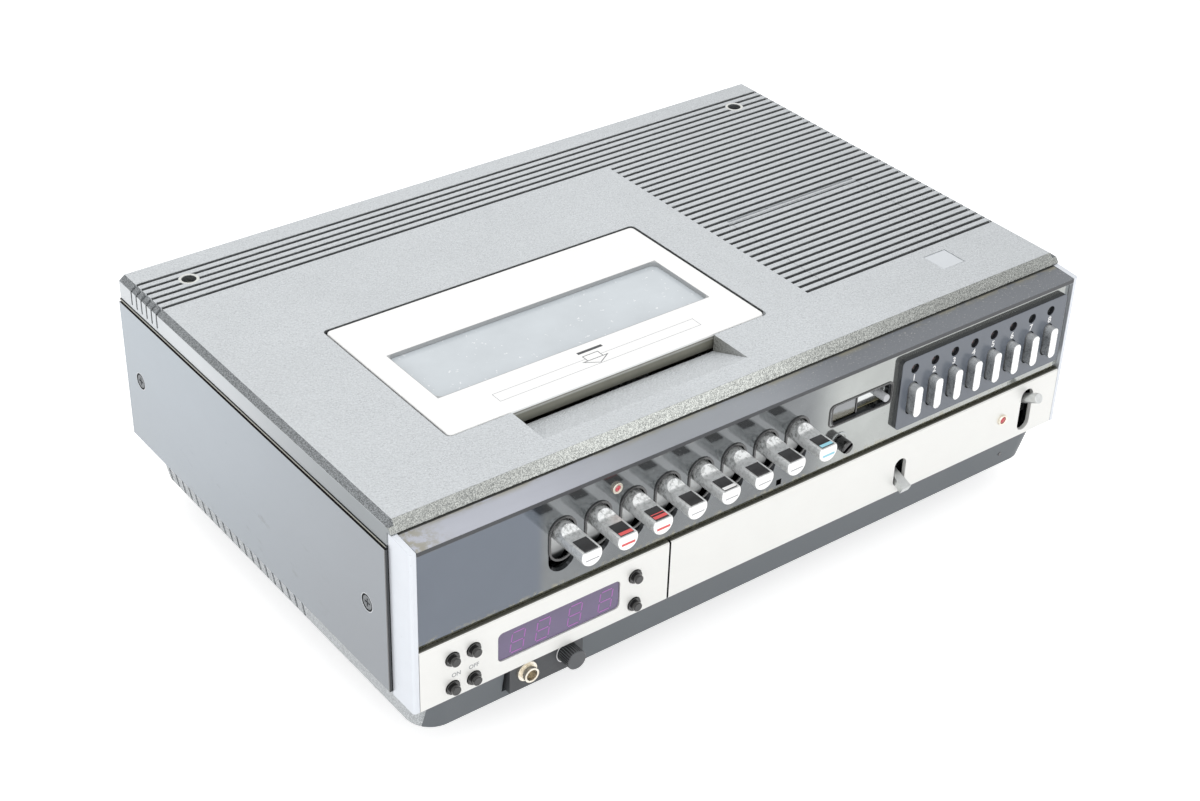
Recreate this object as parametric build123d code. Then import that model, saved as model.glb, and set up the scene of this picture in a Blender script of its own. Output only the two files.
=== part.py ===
from build123d import *
from math import asin, atan2, cos, degrees, hypot, radians, sin
import os

os.makedirs("parts", exist_ok=True)

# Top-loading video cassette recorder.
# Millimetres. X runs across the width, the front faces -Y, and Z is up from the floor.
# Depths are measured back from the front panel face, heights from the floor,
# and sideways places from the middle of the machine.

# Overall size
overall_width = 453.0
overall_height = 147.0
body_depth = 292.4
key_reach = 22.0
overall_depth = body_depth + key_reach
front_y = key_reach - overall_depth / 2

# Gaps between pieces
seat_gap = 0.3
running_gap = 0.05
slide_gap = 0.35

# Plinth: a tub whose walls lean in and whose lower edges slope away
foot_height = 10.5
foot_radius = 13.0
foot_side_inset = 48.0
foot_front_depth = 48.0
foot_back_inset = 48.0
plinth_wall = 2.5
plinth_corner = 15.0
plinth_waist_height = 18.8
plinth_top_side_inset = 6.7
plinth_waist_side_inset = 10.8
plinth_floor_side_inset = 33.0
plinth_top_front_inset = 3.2
plinth_waist_front_inset = 7.9
plinth_floor_front_inset = 27.0
plinth_top_back_inset = 3.0
plinth_waist_back_inset = 6.4
plinth_floor_back_inset = 26.0
vent_count = 20
plinth_flange = 3.0
vent_pitch = 7.85
vent_width = 2.0
vent_first_depth = 120.75
vent_bottom_height = 19.2

# Front panel: fascia moulding with two metal plates stuck on its lower part
panel_bottom_height = 42.45
fascia_depth = 2.5
fascia_thickness = 3.0
plate_thickness = 2.4
plate_top_height = 79.3
plate_edge_bevel = 1.0
plate_joint_x = -68.5
plate_joint_gap = 1.0
shadow_groove = 1.7
shadow_groove_depth = 1.2
end_trim_thickness = 3.4
end_trim_depth = 18.65
end_trim_inset = 1.6
end_trim_round = 1.6
ledge_front_drop = 7.4
ledge_back_drop = 6.4
ledge_length = 22.0
ledge_lip = 2.6
ledge_thickness = 2.0

# Top cover
cover_top_inset = 4.9
cover_chamfer_width = 3.7
cover_chamfer_drop = 2.86
cover_side_drop = 13.28
cover_wall = 3.0
cover_top_thickness = 4.0
cover_front_depth = 16.0
cover_front_edge_depth = 20.35
cover_front_drop = 5.67
cover_back_drop = 19.0
groove_count = 37
groove_pitch = 5.88
groove_last_depth = 278.0
groove_top_width = 2.6
groove_floor_width = 1.6
groove_cut = 2.0
groove_wall_end = 1.9
full_groove_count = 6
grille_left_x = 76.0
cover_screw_x = 195.0
cover_screw_depth = 268.5
cover_screw_land_radius = 5.75
cover_screw_well_radius = 4.15
cover_screw_well = 6.4
cover_screw_boss = 10.7
tile_x = 165.7
tile_depth = 49.3
tile_size = 16.6
tile_recess = 0.6

# Cassette lid, its opening and the finger recess ahead of it
lid_middle_x = -60.0
lid_opening_width = 207.0
lid_opening_front = 60.5
lid_opening_length = 120.0
lid_corner = 3.0
lid_gap = 1.2
lid_thickness = 2.5
lid_edge_round = 1.2
lid_window_width = 176.7
lid_window_front = 92.5
lid_window_length = 48.0
lid_window_corner = 4.0
window_overlap = 2.0
window_thickness = 1.9
recess_left_x = -125.5
recess_right_x = 5.5
recess_front = 33.0
recess_depth = 10.3
recess_wall = 2.2

# Tuning hatch
hatch_left_x = 92.1
hatch_right_x = 190.0
hatch_front = 67.0
hatch_back = 152.8
hatch_lip = 2.0
hatch_lip_thickness = 1.5

# Cassette carriage and its scissor lift
carriage_width = 194.0
carriage_front = 64.0
carriage_back = 178.0
carriage_wall = 2.0
carriage_plate = 1.5
carriage_height = 30.5
carriage_ledge_width = 14.0
carriage_pad = 8.0
carriage_tab = 8.5
lift_arm_length = 95.0
lift_rest_angle = 8.0
lift_arm_half_width = 3.5
lift_arm_thickness = 1.6
lift_arm_gap = 0.4
lift_side_gap = 2.3
lift_pivot_depth = 172.0
lift_pin_radius = 1.5
lift_rod_radius = 2.0
lift_rod_offset = 12.0
lift_slot_half = 1.9
lift_slot_travel = 19.5
lift_pivot_below_floor = 4.5

# Deck
deck_plate_top = 89.0
deck_plate_thickness = 3.0
deck_left_x = -170.0
deck_right_x = 50.0
deck_front = 42.0
deck_back = 262.0
deck_leg = 12.0
rail_thickness = 1.8
rail_front = 66.0
rail_back = 184.0
rail_above_pivot = 5.2

# Reels, head drum and capstan
reel_spacing = 92.4
reel_depth = 104.0
reel_table_radius = 22.0
reel_table_height = 4.0
reel_hub_radius = 12.0
reel_hub_height = 5.0
reel_spindle_radius = 9.0
reel_spindle_height = 22.0
reel_fin = 1.2
reel_post_radius = 2.0
drum_radius = 31.0
drum_depth = 216.0
drum_lower_height = 23.0
drum_upper_height = 19.5
drum_post_radius = 4.0
capstan_x = 20.0
capstan_depth = 190.0
capstan_radius = 1.5
capstan_top_height = 125.0
capstan_bearing_radius = 5.0
flywheel_radius = 38.0
flywheel_thickness = 10.0
flywheel_below_deck = 10.0
guide_radius = 3.0
guide_height = 41.0

# Piano keys
key_count = 8
key_first_x = -136.0
key_pitch = 21.8
key_axis_height = 114.15
key_radius = 6.1
key_tip_round = 0.8
key_flat_rise = 2.8
key_scoop_start = 6.5
key_scoop_radius = 6.2
key_slot_half_width = 6.8
key_slot_low = 16.4
key_slot_bevel = 1.4
key_pivot_depth = 50.0
key_pivot_drop = 2.15
key_shield_thickness = 2.0
key_shield_width = 13.0
key_shield_low = 22.5
key_shield_high = 18.0
key_arm_width = 5.0
key_arm_height = 7.0
key_hub_radius = 5.0
key_shaft_radius = 2.5
key_bracket = 4.0

# Counter recess, reset button and memory switch
counter_left_x = 42.5
counter_right_x = 83.5
counter_middle_height = 112.6
counter_height = 10.8
counter_corner = 2.5
counter_bevel = 1.3
counter_floor_depth = 7.0
counter_floor_thickness = 1.5
counter_wheel_count = 4
counter_wheel_radius = 6.4
counter_wheel_width = 3.5
counter_wheel_pitch = 3.9
counter_first_wheel_x = 45.8
counter_hub_radius = 4.6
counter_axle_radius = 1.2
counter_cheek = 1.5
reset_x = 78.0
reset_radius = 2.3
reset_front = 1.0
memory_x = 48.5
memory_height = 94.0
memory_radius = 3.8
memory_front = 5.0
memory_stem_radius = 2.0
memory_ring_radius = 6.0
memory_ring_inner_radius = 4.6
memory_ring_rise = 0.5
memory_notch = 2.2
peep_x = 6.5
peep_height = 84.5
peep_size = 3.5
peep_cut = 2.0

# Channel buttons and their raised plate
channel_count = 8
channel_first_x = 98.0
channel_pitch = 15.27
channel_plate_left = 88.3
channel_plate_right = 217.5
channel_plate_bottom = 87.0
channel_plate_top = 131.4
channel_plate_corner = 2.5
channel_plate_rise = 3.0
channel_button_width = 5.6
channel_button_height = 19.5
channel_button_middle = 105.3
channel_button_front = 6.0
channel_slot_gap = 0.7
channel_flange = 1.3
channel_lamp_height = 124.3
channel_lamp_hole_radius = 2.9
channel_lamp_radius = 2.0

# Clock plate
clock_window_left = -175.7
clock_window_right = -100.4
clock_window_bottom = 50.95
clock_window_top = 68.95
clock_window_corner = 3.0
clock_window_recess = 0.8
clock_window_flange = 1.8
clock_window_thickness = 2.0
clock_button_upper = 67.0
clock_button_lower = 49.1
clock_outer_x = -202.4
clock_inner_x = -190.0
clock_right_x = -90.9
clock_hole_radius = 4.2
clock_collar_radius = 3.8
clock_cap_radius = 2.6
clock_cap_front = 4.0
clock_collar_front = 1.0
clock_flange_radius = 5.0

# Selector plate levers and lamp
record_lever_x = 96.8
record_slot_width = 8.8
record_slot_height = 18.2
record_slot_middle = 55.7
record_lever_angle = 26.0
record_lever_length = 19.0
record_pivot_depth = 11.0
record_hub_width = 5.4
record_root_width = 4.0
record_root_thickness = 3.4
record_tip_width = 6.4
record_tip_thickness = 4.6
mode_lever_x = 197.2
mode_slot_width = 9.6
mode_slot_height = 28.2
mode_slot_middle = 59.75
mode_lever_angle = 26.5
mode_lever_length = 27.6
mode_lever_radius = 3.1
mode_pivot_depth = 16.0
lever_hub_radius = 3.6
lever_axle_radius = 1.3
lever_cheek = 1.5
lever_field_left = 72.0
mode_lamp_x = 177.6
mode_lamp_height = 60.15
record_lamp_x = -103.3
record_lamp_height = 126.4
lamp_radius = 2.4
lamp_length = 8.0
lamp_proud = 1.6
power_lamp_x = 188.4
power_lamp_height = 28.2
power_lamp_radius = 1.2
power_lamp_proud = 0.3

# Microphone socket and tracking knob, on a plate set in the plinth
socket_plate_left = -166.5
socket_plate_right = -121.0
socket_plate_left_gap = 2.3
socket_plate_right_gap = 0.6
socket_plate_depth = 3.0
socket_plate_thickness = 8.5
socket_plate_bottom = 24.3
socket_plate_wall = 2.5
socket_plate_flange = 6.0
socket_plate_flange_thickness = 1.5
socket_axis_height = 34.9
jack_x = -156.3
jack_flange_radius = 5.8
jack_flange_thickness = 1.2
jack_barrel_radius = 4.3
jack_barrel_length = 3.8
jack_bore_radius = 3.2
jack_bore_depth = 10.0
jack_body_radius = 3.9
jack_body_length = 12.0
tracking_x = -131.0
tracking_radius = 5.65
tracking_front = 6.0
tracking_shaft_radius = 3.0

# Side panels
side_panel_thickness = 2.3
side_panel_bottom_height = 44.3
side_lip_groove = 0.9
side_lip = 1.0
side_lip_inset = 0.6
side_screw_front_depth = 37.5
side_screw_back_depth = 275.0
side_screw_height = 88.2
side_screw_well_radius = 4.8
side_screw_well = 1.5
side_screw_head_radius = 3.9
screw_head_thickness = 1.3
screw_shank_radius = 1.9
side_post = 10.0
side_post_back_offset = 1.2

# Rear panel and its sockets
rear_panel_depth = 283.5
rear_panel_thickness = 2.0
rear_panel_top_drop = 11.0
rear_flange = 5.3
rear_tab_width = 10.0
rear_tab_length = 21.5
rear_tab_thickness = 2.6
aerial_first_x = -178.0
aerial_pitch = 26.0
aerial_height = 96.0
aerial_radius = 6.4
aerial_bore_radius = 4.8
phono_first_x = -100.0
phono_pitch = 18.0
phono_count = 4
phono_height = 96.0
phono_radius = 4.2
phono_bore_radius = 3.2
remote_x = 6.0
remote_height = 96.0
remote_radius = 9.0
remote_bore_radius = 7.2
socket_proud = 6.2
socket_floor = 1.0
gland_x = 176.0
gland_height = 66.0
gland_radius = 9.0
gland_bore_radius = 3.6
gland_proud = 5.6

# Transformer, main board and tuning unit
transformer_x = 154.0
transformer_depth = 226.0
transformer_width = 66.0
transformer_length = 54.0
transformer_height = 56.0
transformer_coil_overhang = 9.0
board_left = -148.0
board_right = 30.0
board_front = 72.0
board_back = 240.0
board_thickness = 1.6
board_above_floor = 16.0
board_pillar_radius = 3.0
board_part_height = 14.0
tuner_side_inset = 4.0
tuner_box_height = 18.0
tuner_below_cover = 6.5
tuner_leg = 6.0
tuner_wheel_radius = 6.0
tuner_wheel_thickness = 3.0
tuner_wheel_pitch = 10.6

# Places worked out from the sizes above
half_width = overall_width / 2
plinth_floor_top = foot_height + plinth_wall
plinth_top_height = side_panel_bottom_height - seat_gap
trim_outer_x = half_width - end_trim_inset
trim_inner_x = trim_outer_x - end_trim_thickness
panel_half_width = trim_inner_x - seat_gap
fascia_back = fascia_depth + fascia_thickness
ledge_front_height = overall_height - ledge_front_drop
ledge_back_height = overall_height - ledge_back_drop
ledge_lip_height = ledge_front_height - ledge_lip
fascia_top_height = ledge_lip_height - 0.1
cover_top_half = half_width - cover_top_inset
cover_side_half = cover_top_half + cover_chamfer_width
cover_chamfer_height = overall_height - cover_chamfer_drop
cover_bottom_height = overall_height - cover_side_drop
cover_front_height = overall_height - cover_front_drop
cover_under = overall_height - cover_top_thickness
cover_back_inner = body_depth - cover_wall
cover_side_start = end_trim_depth + 0.4
lid_opening_back = lid_opening_front + lid_opening_length
lid_opening_middle = (lid_opening_front + lid_opening_back) / 2
lid_under = overall_height - lid_thickness
lid_window_middle = lid_window_front + lid_window_length / 2
window_top = lid_under - 0.1
window_bottom = window_top - window_thickness
carriage_top = window_bottom - seat_gap
carriage_bottom = carriage_top - carriage_height
carriage_left = lid_middle_x - carriage_width / 2
carriage_right = lid_middle_x + carriage_width / 2
lift_top_height = carriage_bottom - lift_pivot_below_floor
lift_half = lift_arm_length / 2
lift_run = lift_arm_length * cos(radians(lift_rest_angle))
lift_rise = lift_arm_length * sin(radians(lift_rest_angle))
lift_pivot_height = lift_top_height - lift_rise
inner_arm_outer_face = lift_side_gap + lift_arm_thickness
outer_arm_inner_face = inner_arm_outer_face + lift_arm_gap
outer_arm_outer_face = outer_arm_inner_face + lift_arm_thickness
rail_inner_face = outer_arm_outer_face + 1.5
rail_outer_face = rail_inner_face + rail_thickness
deck_plate_bottom = deck_plate_top - deck_plate_thickness
key_pivot_height = key_axis_height - key_pivot_drop
key_shield_radius = key_pivot_depth - fascia_back - 0.4
key_last_x = key_first_x + key_pitch * (key_count - 1)
key_flat_height = key_axis_height + key_flat_rise
counter_middle_x = (counter_left_x + counter_right_x) / 2
counter_width = counter_right_x - counter_left_x
counter_floor_back = counter_floor_depth + counter_floor_thickness
counter_axle_depth = counter_floor_back + 0.5 + counter_wheel_radius
counter_last_wheel_x = counter_first_wheel_x + counter_wheel_pitch * (counter_wheel_count - 1)
channel_plate_front = fascia_depth - channel_plate_rise
side_panel_inner = half_width - side_panel_thickness
side_panel_top = cover_bottom_height - seat_gap
rear_panel_back = rear_panel_depth + rear_panel_thickness
rear_panel_top = overall_height - rear_panel_top_drop
channel_xs = [channel_first_x + channel_pitch * i for i in range(channel_count)]
key_xs = [key_first_x + key_pitch * i for i in range(key_count)]


def at(depth):
    """Y of a place that lies this far behind the front panel face."""
    return front_y + depth


def block(x0, x1, d0, d1, z0, z1):
    return Pos((x0 + x1) / 2, at((d0 + d1) / 2), (z0 + z1) / 2) * Box(x1 - x0, d1 - d0, z1 - z0)


def across(profile, x0, x1):
    """A prism along X from (depth, height) points."""
    wire = Wire.make_polygon([(x0, at(d), z) for d, z in profile])
    return extrude(Face(wire), amount=x1 - x0, dir=(1, 0, 0))


def lengthways(profile, d0, d1):
    """A prism along Y from (x, height) points."""
    wire = Wire.make_polygon([(x, at(d0), z) for x, z in profile])
    return extrude(Face(wire), amount=d1 - d0, dir=(0, 1, 0))


def front_plane(x, depth, z):
    return Plane(origin=(x, at(depth), z), x_dir=(1, 0, 0), z_dir=(0, -1, 0))


def rod_x(radius, x0, x1, depth, z):
    face = Plane(origin=(x0, at(depth), z), x_dir=(0, 1, 0), z_dir=(1, 0, 0)) * Circle(radius)
    return extrude(face, amount=x1 - x0)


def rod_y(radius, x, z, d0, d1):
    return extrude(front_plane(x, d0, z) * Circle(radius), amount=d1 - d0, dir=(0, 1, 0))


def rod_z(radius, x, depth, z0, z1):
    return extrude(Pos(x, at(depth), z0) * Circle(radius), amount=z1 - z0)


def tall_slot(x, z, width, height, d0, d1):
    """An upright slot with round ends, through from depth d0 to d1."""
    face = front_plane(x, d0, z) * SlotOverall(height, width, rotation=90)
    return extrude(face, amount=d1 - d0, dir=(0, 1, 0))


def rounded_hole(x0, x1, z0, z1, radius, d0, d1):
    face = front_plane((x0 + x1) / 2, d0, (z0 + z1) / 2) * RectangleRounded(x1 - x0, z1 - z0, radius)
    return extrude(face, amount=d1 - d0, dir=(0, 1, 0))


def rounded_slab(x, depth, width, length, radius, z0, z1):
    face = Pos(x, at(depth), z0) * RectangleRounded(width, length, radius)
    return extrude(face, amount=z1 - z0)


def edges_at(shape, axis, place, tolerance=0.01):
    """The edges that lie wholly in the plane across this axis at this place."""
    return shape.edges().filter_by_position(axis, place - tolerance, place + tolerance)


# Plinth, feet and side panels

def plinth_section(height, side, front, back, wall):
    width = overall_width - 2 * (side + wall)
    length = body_depth - front - back - 2 * wall
    middle = (front + body_depth - back) / 2
    return Pos(0, at(middle), height) * RectangleRounded(width, length, plinth_corner - wall)


def plinth_shape(wall, floor_height, top_height):
    waist_height = plinth_waist_height + 0.6 * wall
    return loft([
        plinth_section(floor_height, plinth_floor_side_inset, plinth_floor_front_inset,
                       plinth_floor_back_inset, wall),
        plinth_section(waist_height, plinth_waist_side_inset, plinth_waist_front_inset,
                       plinth_waist_back_inset, wall),
        plinth_section(top_height, plinth_top_side_inset, plinth_top_front_inset,
                       plinth_top_back_inset, wall),
    ], ruled=True)


def plinth_front_at(height):
    """How far the plinth's front wall lies behind the front panel face at this height."""
    rise = (height - plinth_waist_height) / (plinth_top_height - plinth_waist_height)
    return plinth_waist_front_inset + rise * (plinth_top_front_inset - plinth_waist_front_inset)


def plinth_rim():
    """A flat rim round the tub's top that closes the gap under the side panels."""
    front = plinth_top_front_inset + 0.3
    back = body_depth - plinth_top_back_inset - 0.3
    return rounded_slab(0, (front + back) / 2, 2 * (side_panel_inner - seat_gap), back - front,
                        plinth_corner, plinth_top_height - plinth_flange, plinth_top_height)


def side_posts():
    """Uprights that the side panels are screwed to."""
    posts = []
    for side in (-1, 1):
        for depth in (side_screw_front_depth, side_screw_back_depth + side_post_back_offset):
            outer = side * (side_panel_inner - seat_gap)
            inner = side * (side_panel_inner - seat_gap - side_post)
            post = block(min(outer, inner), max(outer, inner), depth - side_post / 2,
                         depth + side_post / 2, plinth_floor_top - 1, side_screw_height + side_post)
            foot = block(min(outer, inner) - 8, max(outer, inner) + 8, depth - 30, depth + 30,
                         foot_height - 20, plinth_top_height - 0.5)
            posts.append(post - (foot - plinth_shape(0, foot_height, plinth_top_height)))
    return posts


def make_base_tub():
    tub = plinth_shape(0, foot_height, plinth_top_height) + plinth_rim()
    tub -= plinth_shape(plinth_wall, plinth_floor_top, plinth_top_height + 0.01)
    front_top = panel_bottom_height - seat_gap
    tub -= block(-half_width, half_width, -5, cover_side_start, front_top, plinth_top_height + 5)
    tub -= block(-half_width, half_width, rear_panel_depth - 0.5, body_depth, front_top,
                 plinth_top_height + 5)
    for side in (-1, 1):
        for i in range(vent_count):
            depth = vent_first_depth + vent_pitch * i
            tub -= block(min(side * half_width, side * (half_width - 24)),
                         max(side * half_width, side * (half_width - 24)),
                         depth - vent_width / 2, depth + vent_width / 2,
                         vent_bottom_height, plinth_top_height - plinth_flange)
    for post in side_posts():
        tub += post
    for side in (-1, 1):
        for depth in (side_screw_front_depth, side_screw_back_depth):
            end = side * (side_panel_inner + 1)
            start = side * (side_panel_inner - side_post - 4)
            tub -= rod_x(screw_shank_radius + 0.2, min(start, end), max(start, end), depth,
                         side_screw_height)
    tub -= block(socket_plate_left - socket_plate_left_gap,
                 socket_plate_right + socket_plate_right_gap, -5,
                 socket_plate_depth + socket_plate_thickness + 2.5,
                 socket_plate_bottom - seat_gap, plinth_top_height + 5)
    tub -= rod_y(power_lamp_radius + running_gap, power_lamp_x, power_lamp_height, -5, 14)
    return tub


def foot_places():
    x = half_width - foot_side_inset
    return [(side * x, depth) for side in (-1, 1)
            for depth in (foot_front_depth, body_depth - foot_back_inset)]


def make_feet():
    feet = []
    for x, depth in foot_places():
        foot = rod_z(foot_radius, x, depth, 0, foot_height)
        foot = chamfer(edges_at(foot, Axis.Z, 0), 1.5)
        foot -= rod_z(foot_radius / 3, x, depth, 0, foot_height / 3)
        feet.append(foot)
    return feet


def make_side_panel(side):
    outer = half_width
    inner = side_panel_inner
    lip_outer = outer - side_lip_inset
    lip_bottom = side_panel_top - side_lip
    groove_bottom = lip_bottom - side_lip_groove
    profile = [(inner, side_panel_bottom_height), (outer, side_panel_bottom_height),
               (outer, groove_bottom), (inner + 0.8, groove_bottom), (inner + 0.8, lip_bottom),
               (lip_outer, lip_bottom), (lip_outer, side_panel_top), (inner, side_panel_top)]
    panel = lengthways([(side * x, z) for x, z in profile], cover_side_start, body_depth)
    for depth in (side_screw_front_depth, side_screw_back_depth):
        well = side * (outer - side_screw_well)
        face = side * (outer + 1)
        back = side * (inner - 1)
        panel -= rod_x(side_screw_well_radius, min(well, face), max(well, face), depth,
                       side_screw_height)
        panel -= rod_x(screw_shank_radius + 0.2, min(back, face), max(back, face), depth,
                       side_screw_height)
    return panel


def make_case_screws():
    screws = []
    for side in (-1, 1):
        top = overall_height - cover_screw_well + 0.1
        x = side * cover_screw_x
        screw = rod_z(cover_screw_well_radius - 0.5, x, cover_screw_depth, top,
                      top + screw_head_thickness * 2)
        screw += rod_z(screw_shank_radius, x, cover_screw_depth, top - 9, top)
        screw -= block(x - 3, x + 3, cover_screw_depth - 0.5, cover_screw_depth + 0.5,
                       top + screw_head_thickness * 2 - 0.9, top + 5)
        screws.append(screw)
        for depth in (side_screw_front_depth, side_screw_back_depth):
            seat = half_width - side_screw_well + 0.05
            head = rod_x(side_screw_head_radius, seat, seat + screw_head_thickness, depth,
                         side_screw_height)
            head += rod_x(screw_shank_radius, side_panel_inner - side_post, seat, depth,
                          side_screw_height)
            for reach, rise in ((2.4, 0.5), (0.5, 2.4)):
                head -= block(seat + screw_head_thickness - 0.7, half_width + 1, depth - reach,
                              depth + reach, side_screw_height - rise, side_screw_height + rise)
            screws.append(head if side > 0 else mirror(head, about=Plane.YZ))
    return screws


# Top cover, hatch and lid

def cover_outline(grow, bottom):
    side = cover_side_half + grow
    top_half = cover_top_half + grow * 0.5
    top = overall_height + grow
    return [(-side, bottom), (-side, cover_chamfer_height + grow * 0.5), (-top_half, top),
            (top_half, top), (side, cover_chamfer_height + grow * 0.5), (side, bottom)]


def groove_band(left_x):
    """The skin that the grooves take away, across the top and down the side walls."""
    low = cover_bottom_height + groove_wall_end
    outer = cover_outline(3.0, low)
    inner = cover_outline(-groove_cut, low)
    band = lengthways(outer, 0, body_depth) - lengthways(inner, -1, body_depth + 1)
    if left_x is None:
        return band
    return band & block(left_x, half_width + 5, -1, body_depth + 1, low - 1, overall_height + 5)


def groove_slices(first, last):
    """Wedge-sided slices, wider at the top, one for each groove from first to last."""
    slices = []
    for i in range(first, last):
        depth = groove_last_depth - groove_pitch * i
        half_top = groove_top_width / 2
        half_floor = groove_floor_width / 2
        top = overall_height + 3
        floor = overall_height - groove_cut
        slices.append(across([(depth - half_top, top), (depth - half_top, overall_height),
                              (depth - half_floor, floor), (depth - half_floor, floor - 20),
                              (depth + half_floor, floor - 20), (depth + half_floor, floor),
                              (depth + half_top, overall_height), (depth + half_top, top)],
                             -half_width - 5, half_width + 5))
    return slices


def cut_grooves(shape):
    full = groove_band(None)
    part = groove_band(grille_left_x)
    for piece in groove_slices(0, full_groove_count):
        shape -= piece & full
    for piece in groove_slices(full_groove_count, groove_count):
        shape -= piece & part
    return shape


def hatch_block(gap, bottom):
    return block(hatch_left_x - gap, hatch_right_x + gap, hatch_front - gap, hatch_back + gap,
                 bottom, overall_height)


def make_top_cover():
    cover = lengthways(cover_outline(0, cover_bottom_height), cover_front_depth, body_depth)
    slope = across([(cover_front_depth - 5, cover_front_height), (cover_front_depth, cover_front_height),
                    (cover_front_edge_depth, overall_height),
                    (cover_front_edge_depth, overall_height + 5),
                    (cover_front_depth - 5, overall_height + 5)], -half_width, half_width)
    cover -= slope
    inner_half = cover_side_half - cover_wall
    cavity = [(-inner_half, cover_bottom_height - 5), (-inner_half, cover_under - 1.5),
              (-inner_half + 1.5, cover_under), (inner_half - 1.5, cover_under),
              (inner_half, cover_under - 1.5), (inner_half, cover_bottom_height - 5)]
    cover -= lengthways(cavity, cover_front_edge_depth + 1.5, cover_back_inner)
    cover -= block(-half_width, half_width, 0, cover_side_start, 0, cover_front_height)
    cover -= block(-inner_half, inner_half, 0, cover_front_edge_depth + 2, 0, cover_front_height)
    back_half = side_panel_inner - seat_gap
    cover += block(-back_half, back_half, cover_back_inner, body_depth,
                   overall_height - cover_back_drop, cover_bottom_height + 1)
    cover = cut_grooves(cover)
    for side in (-1, 1):
        x = side * cover_screw_x
        cover += rod_z(cover_screw_land_radius, x, cover_screw_depth,
                       overall_height - cover_screw_boss, overall_height)
        cover -= rod_z(cover_screw_well_radius, x, cover_screw_depth,
                       overall_height - cover_screw_well, overall_height + 1)
        cover -= rod_z(screw_shank_radius + 0.2, x, cover_screw_depth,
                       overall_height - cover_screw_boss - 1, overall_height)
    floor_slope = recess_depth / (lid_opening_front - recess_front)
    start = recess_front - recess_wall
    cover += across([(start, cover_under + 0.5), (start, cover_under),
                     (lid_opening_front, overall_height - recess_depth - recess_wall),
                     (lid_opening_front, cover_under + 0.5)],
                    recess_left_x - recess_wall, recess_right_x + recess_wall)
    cover -= across([(recess_front, overall_height), (recess_front, overall_height + 2),
                     (lid_opening_front + 1, overall_height + 2),
                     (lid_opening_front + 1, overall_height - recess_depth - floor_slope)],
                    recess_left_x, recess_right_x)
    cover -= rounded_slab(lid_middle_x, lid_opening_middle, lid_opening_width, lid_opening_length,
                          lid_corner, cover_under - 1, overall_height + 1)
    cover -= hatch_block(seat_gap, cover_under - 1)
    lip_top = cover_under - seat_gap
    cover += block(hatch_left_x, hatch_right_x, hatch_front - hatch_lip, hatch_front + hatch_lip,
                   lip_top - hatch_lip_thickness, lip_top)
    cover += block(hatch_left_x, hatch_right_x, hatch_front - hatch_lip,
                   hatch_front - seat_gap - 0.1, lip_top - hatch_lip_thickness, cover_under + 0.2)
    cover -= block(tile_x - tile_size / 2, tile_x + tile_size / 2, tile_depth - tile_size / 2,
                   tile_depth + tile_size / 2, overall_height - tile_recess, overall_height + 1)
    return cover


def make_tuning_hatch():
    """The hatch, with a round back edge that it turns on."""
    radius = cover_top_thickness / 2
    axis_depth = hatch_back - radius
    hatch = hatch_block(0, cover_under)
    hatch -= block(hatch_left_x - 1, hatch_right_x + 1, axis_depth, hatch_back + 1,
                   cover_under - 1, overall_height + 1)
    hatch += rod_x(radius, hatch_left_x, hatch_right_x, axis_depth, cover_under + radius)
    return cut_grooves(hatch)


def make_cassette_lid():
    width = lid_opening_width - 2 * lid_gap
    length = lid_opening_length - 2 * lid_gap
    lid = rounded_slab(lid_middle_x, lid_opening_middle, width, length, lid_corner, lid_under,
                       overall_height)
    lid = fillet(edges_at(lid, Axis.Z, overall_height), lid_edge_round)
    lid -= rounded_slab(lid_middle_x, lid_window_middle, lid_window_width, lid_window_length,
                        lid_window_corner, lid_under - 1, overall_height + 1)
    return lid


def make_lid_window():
    return rounded_slab(lid_middle_x, lid_window_middle, lid_window_width + 2 * window_overlap,
                        lid_window_length + 2 * window_overlap, lid_window_corner,
                        window_bottom, window_top)


# Carriage and scissor lift. Each side is made on the left and mirrored to the right.

def lift_pair(left):
    right = mirror(left, about=Plane(origin=(lid_middle_x, 0, 0), z_dir=(1, 0, 0)))
    return [left, right]


def arm_point(along, below_top):
    """A point on an arm, from its rear end: the outer arm rises forwards, the inner one falls."""
    run = along * cos(radians(lift_rest_angle))
    rise = along * sin(radians(lift_rest_angle))
    depth = lift_pivot_depth - run
    height = lift_top_height - rise if below_top else lift_pivot_height + rise
    return depth, height


def arm_plate(inner_face, outer_face, below_top):
    x0 = carriage_left - outer_face
    x1 = carriage_left - inner_face
    start = arm_point(0, below_top)
    end = arm_point(lift_arm_length, below_top)
    dx = end[0] - start[0]
    dz = end[1] - start[1]
    length = hypot(dx, dz)
    side = (dz / length * lift_arm_half_width, -dx / length * lift_arm_half_width)
    bar = across([(start[0] + side[0], start[1] + side[1]), (end[0] + side[0], end[1] + side[1]),
                  (end[0] - side[0], end[1] - side[1]), (start[0] - side[0], start[1] - side[1])],
                 x0, x1)
    bar += rod_x(lift_arm_half_width, x0, x1, *start)
    bar += rod_x(lift_arm_half_width, x0, x1, *end)
    return bar


def make_lift_arm_outer():
    arm = arm_plate(outer_arm_inner_face, outer_arm_outer_face, False)
    hole = rod_x(lift_pin_radius + running_gap, carriage_left - 30, carriage_left,
                 *arm_point(0, False))
    arm -= hole
    inner_face = carriage_left - outer_arm_inner_face - 0.5
    arm += rod_x(lift_pin_radius, inner_face, carriage_left - lift_side_gap + 0.2,
                 *arm_point(lift_half, False))
    arm += rod_x(lift_pin_radius, inner_face, carriage_left + carriage_wall - 0.4,
                 *arm_point(lift_arm_length, False))
    pair = lift_pair(arm)
    rod = rod_x(lift_rod_radius, inner_face, 2 * lid_middle_x - inner_face,
                *arm_point(lift_rod_offset, False))
    return pair[0] + pair[1] + rod


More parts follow.
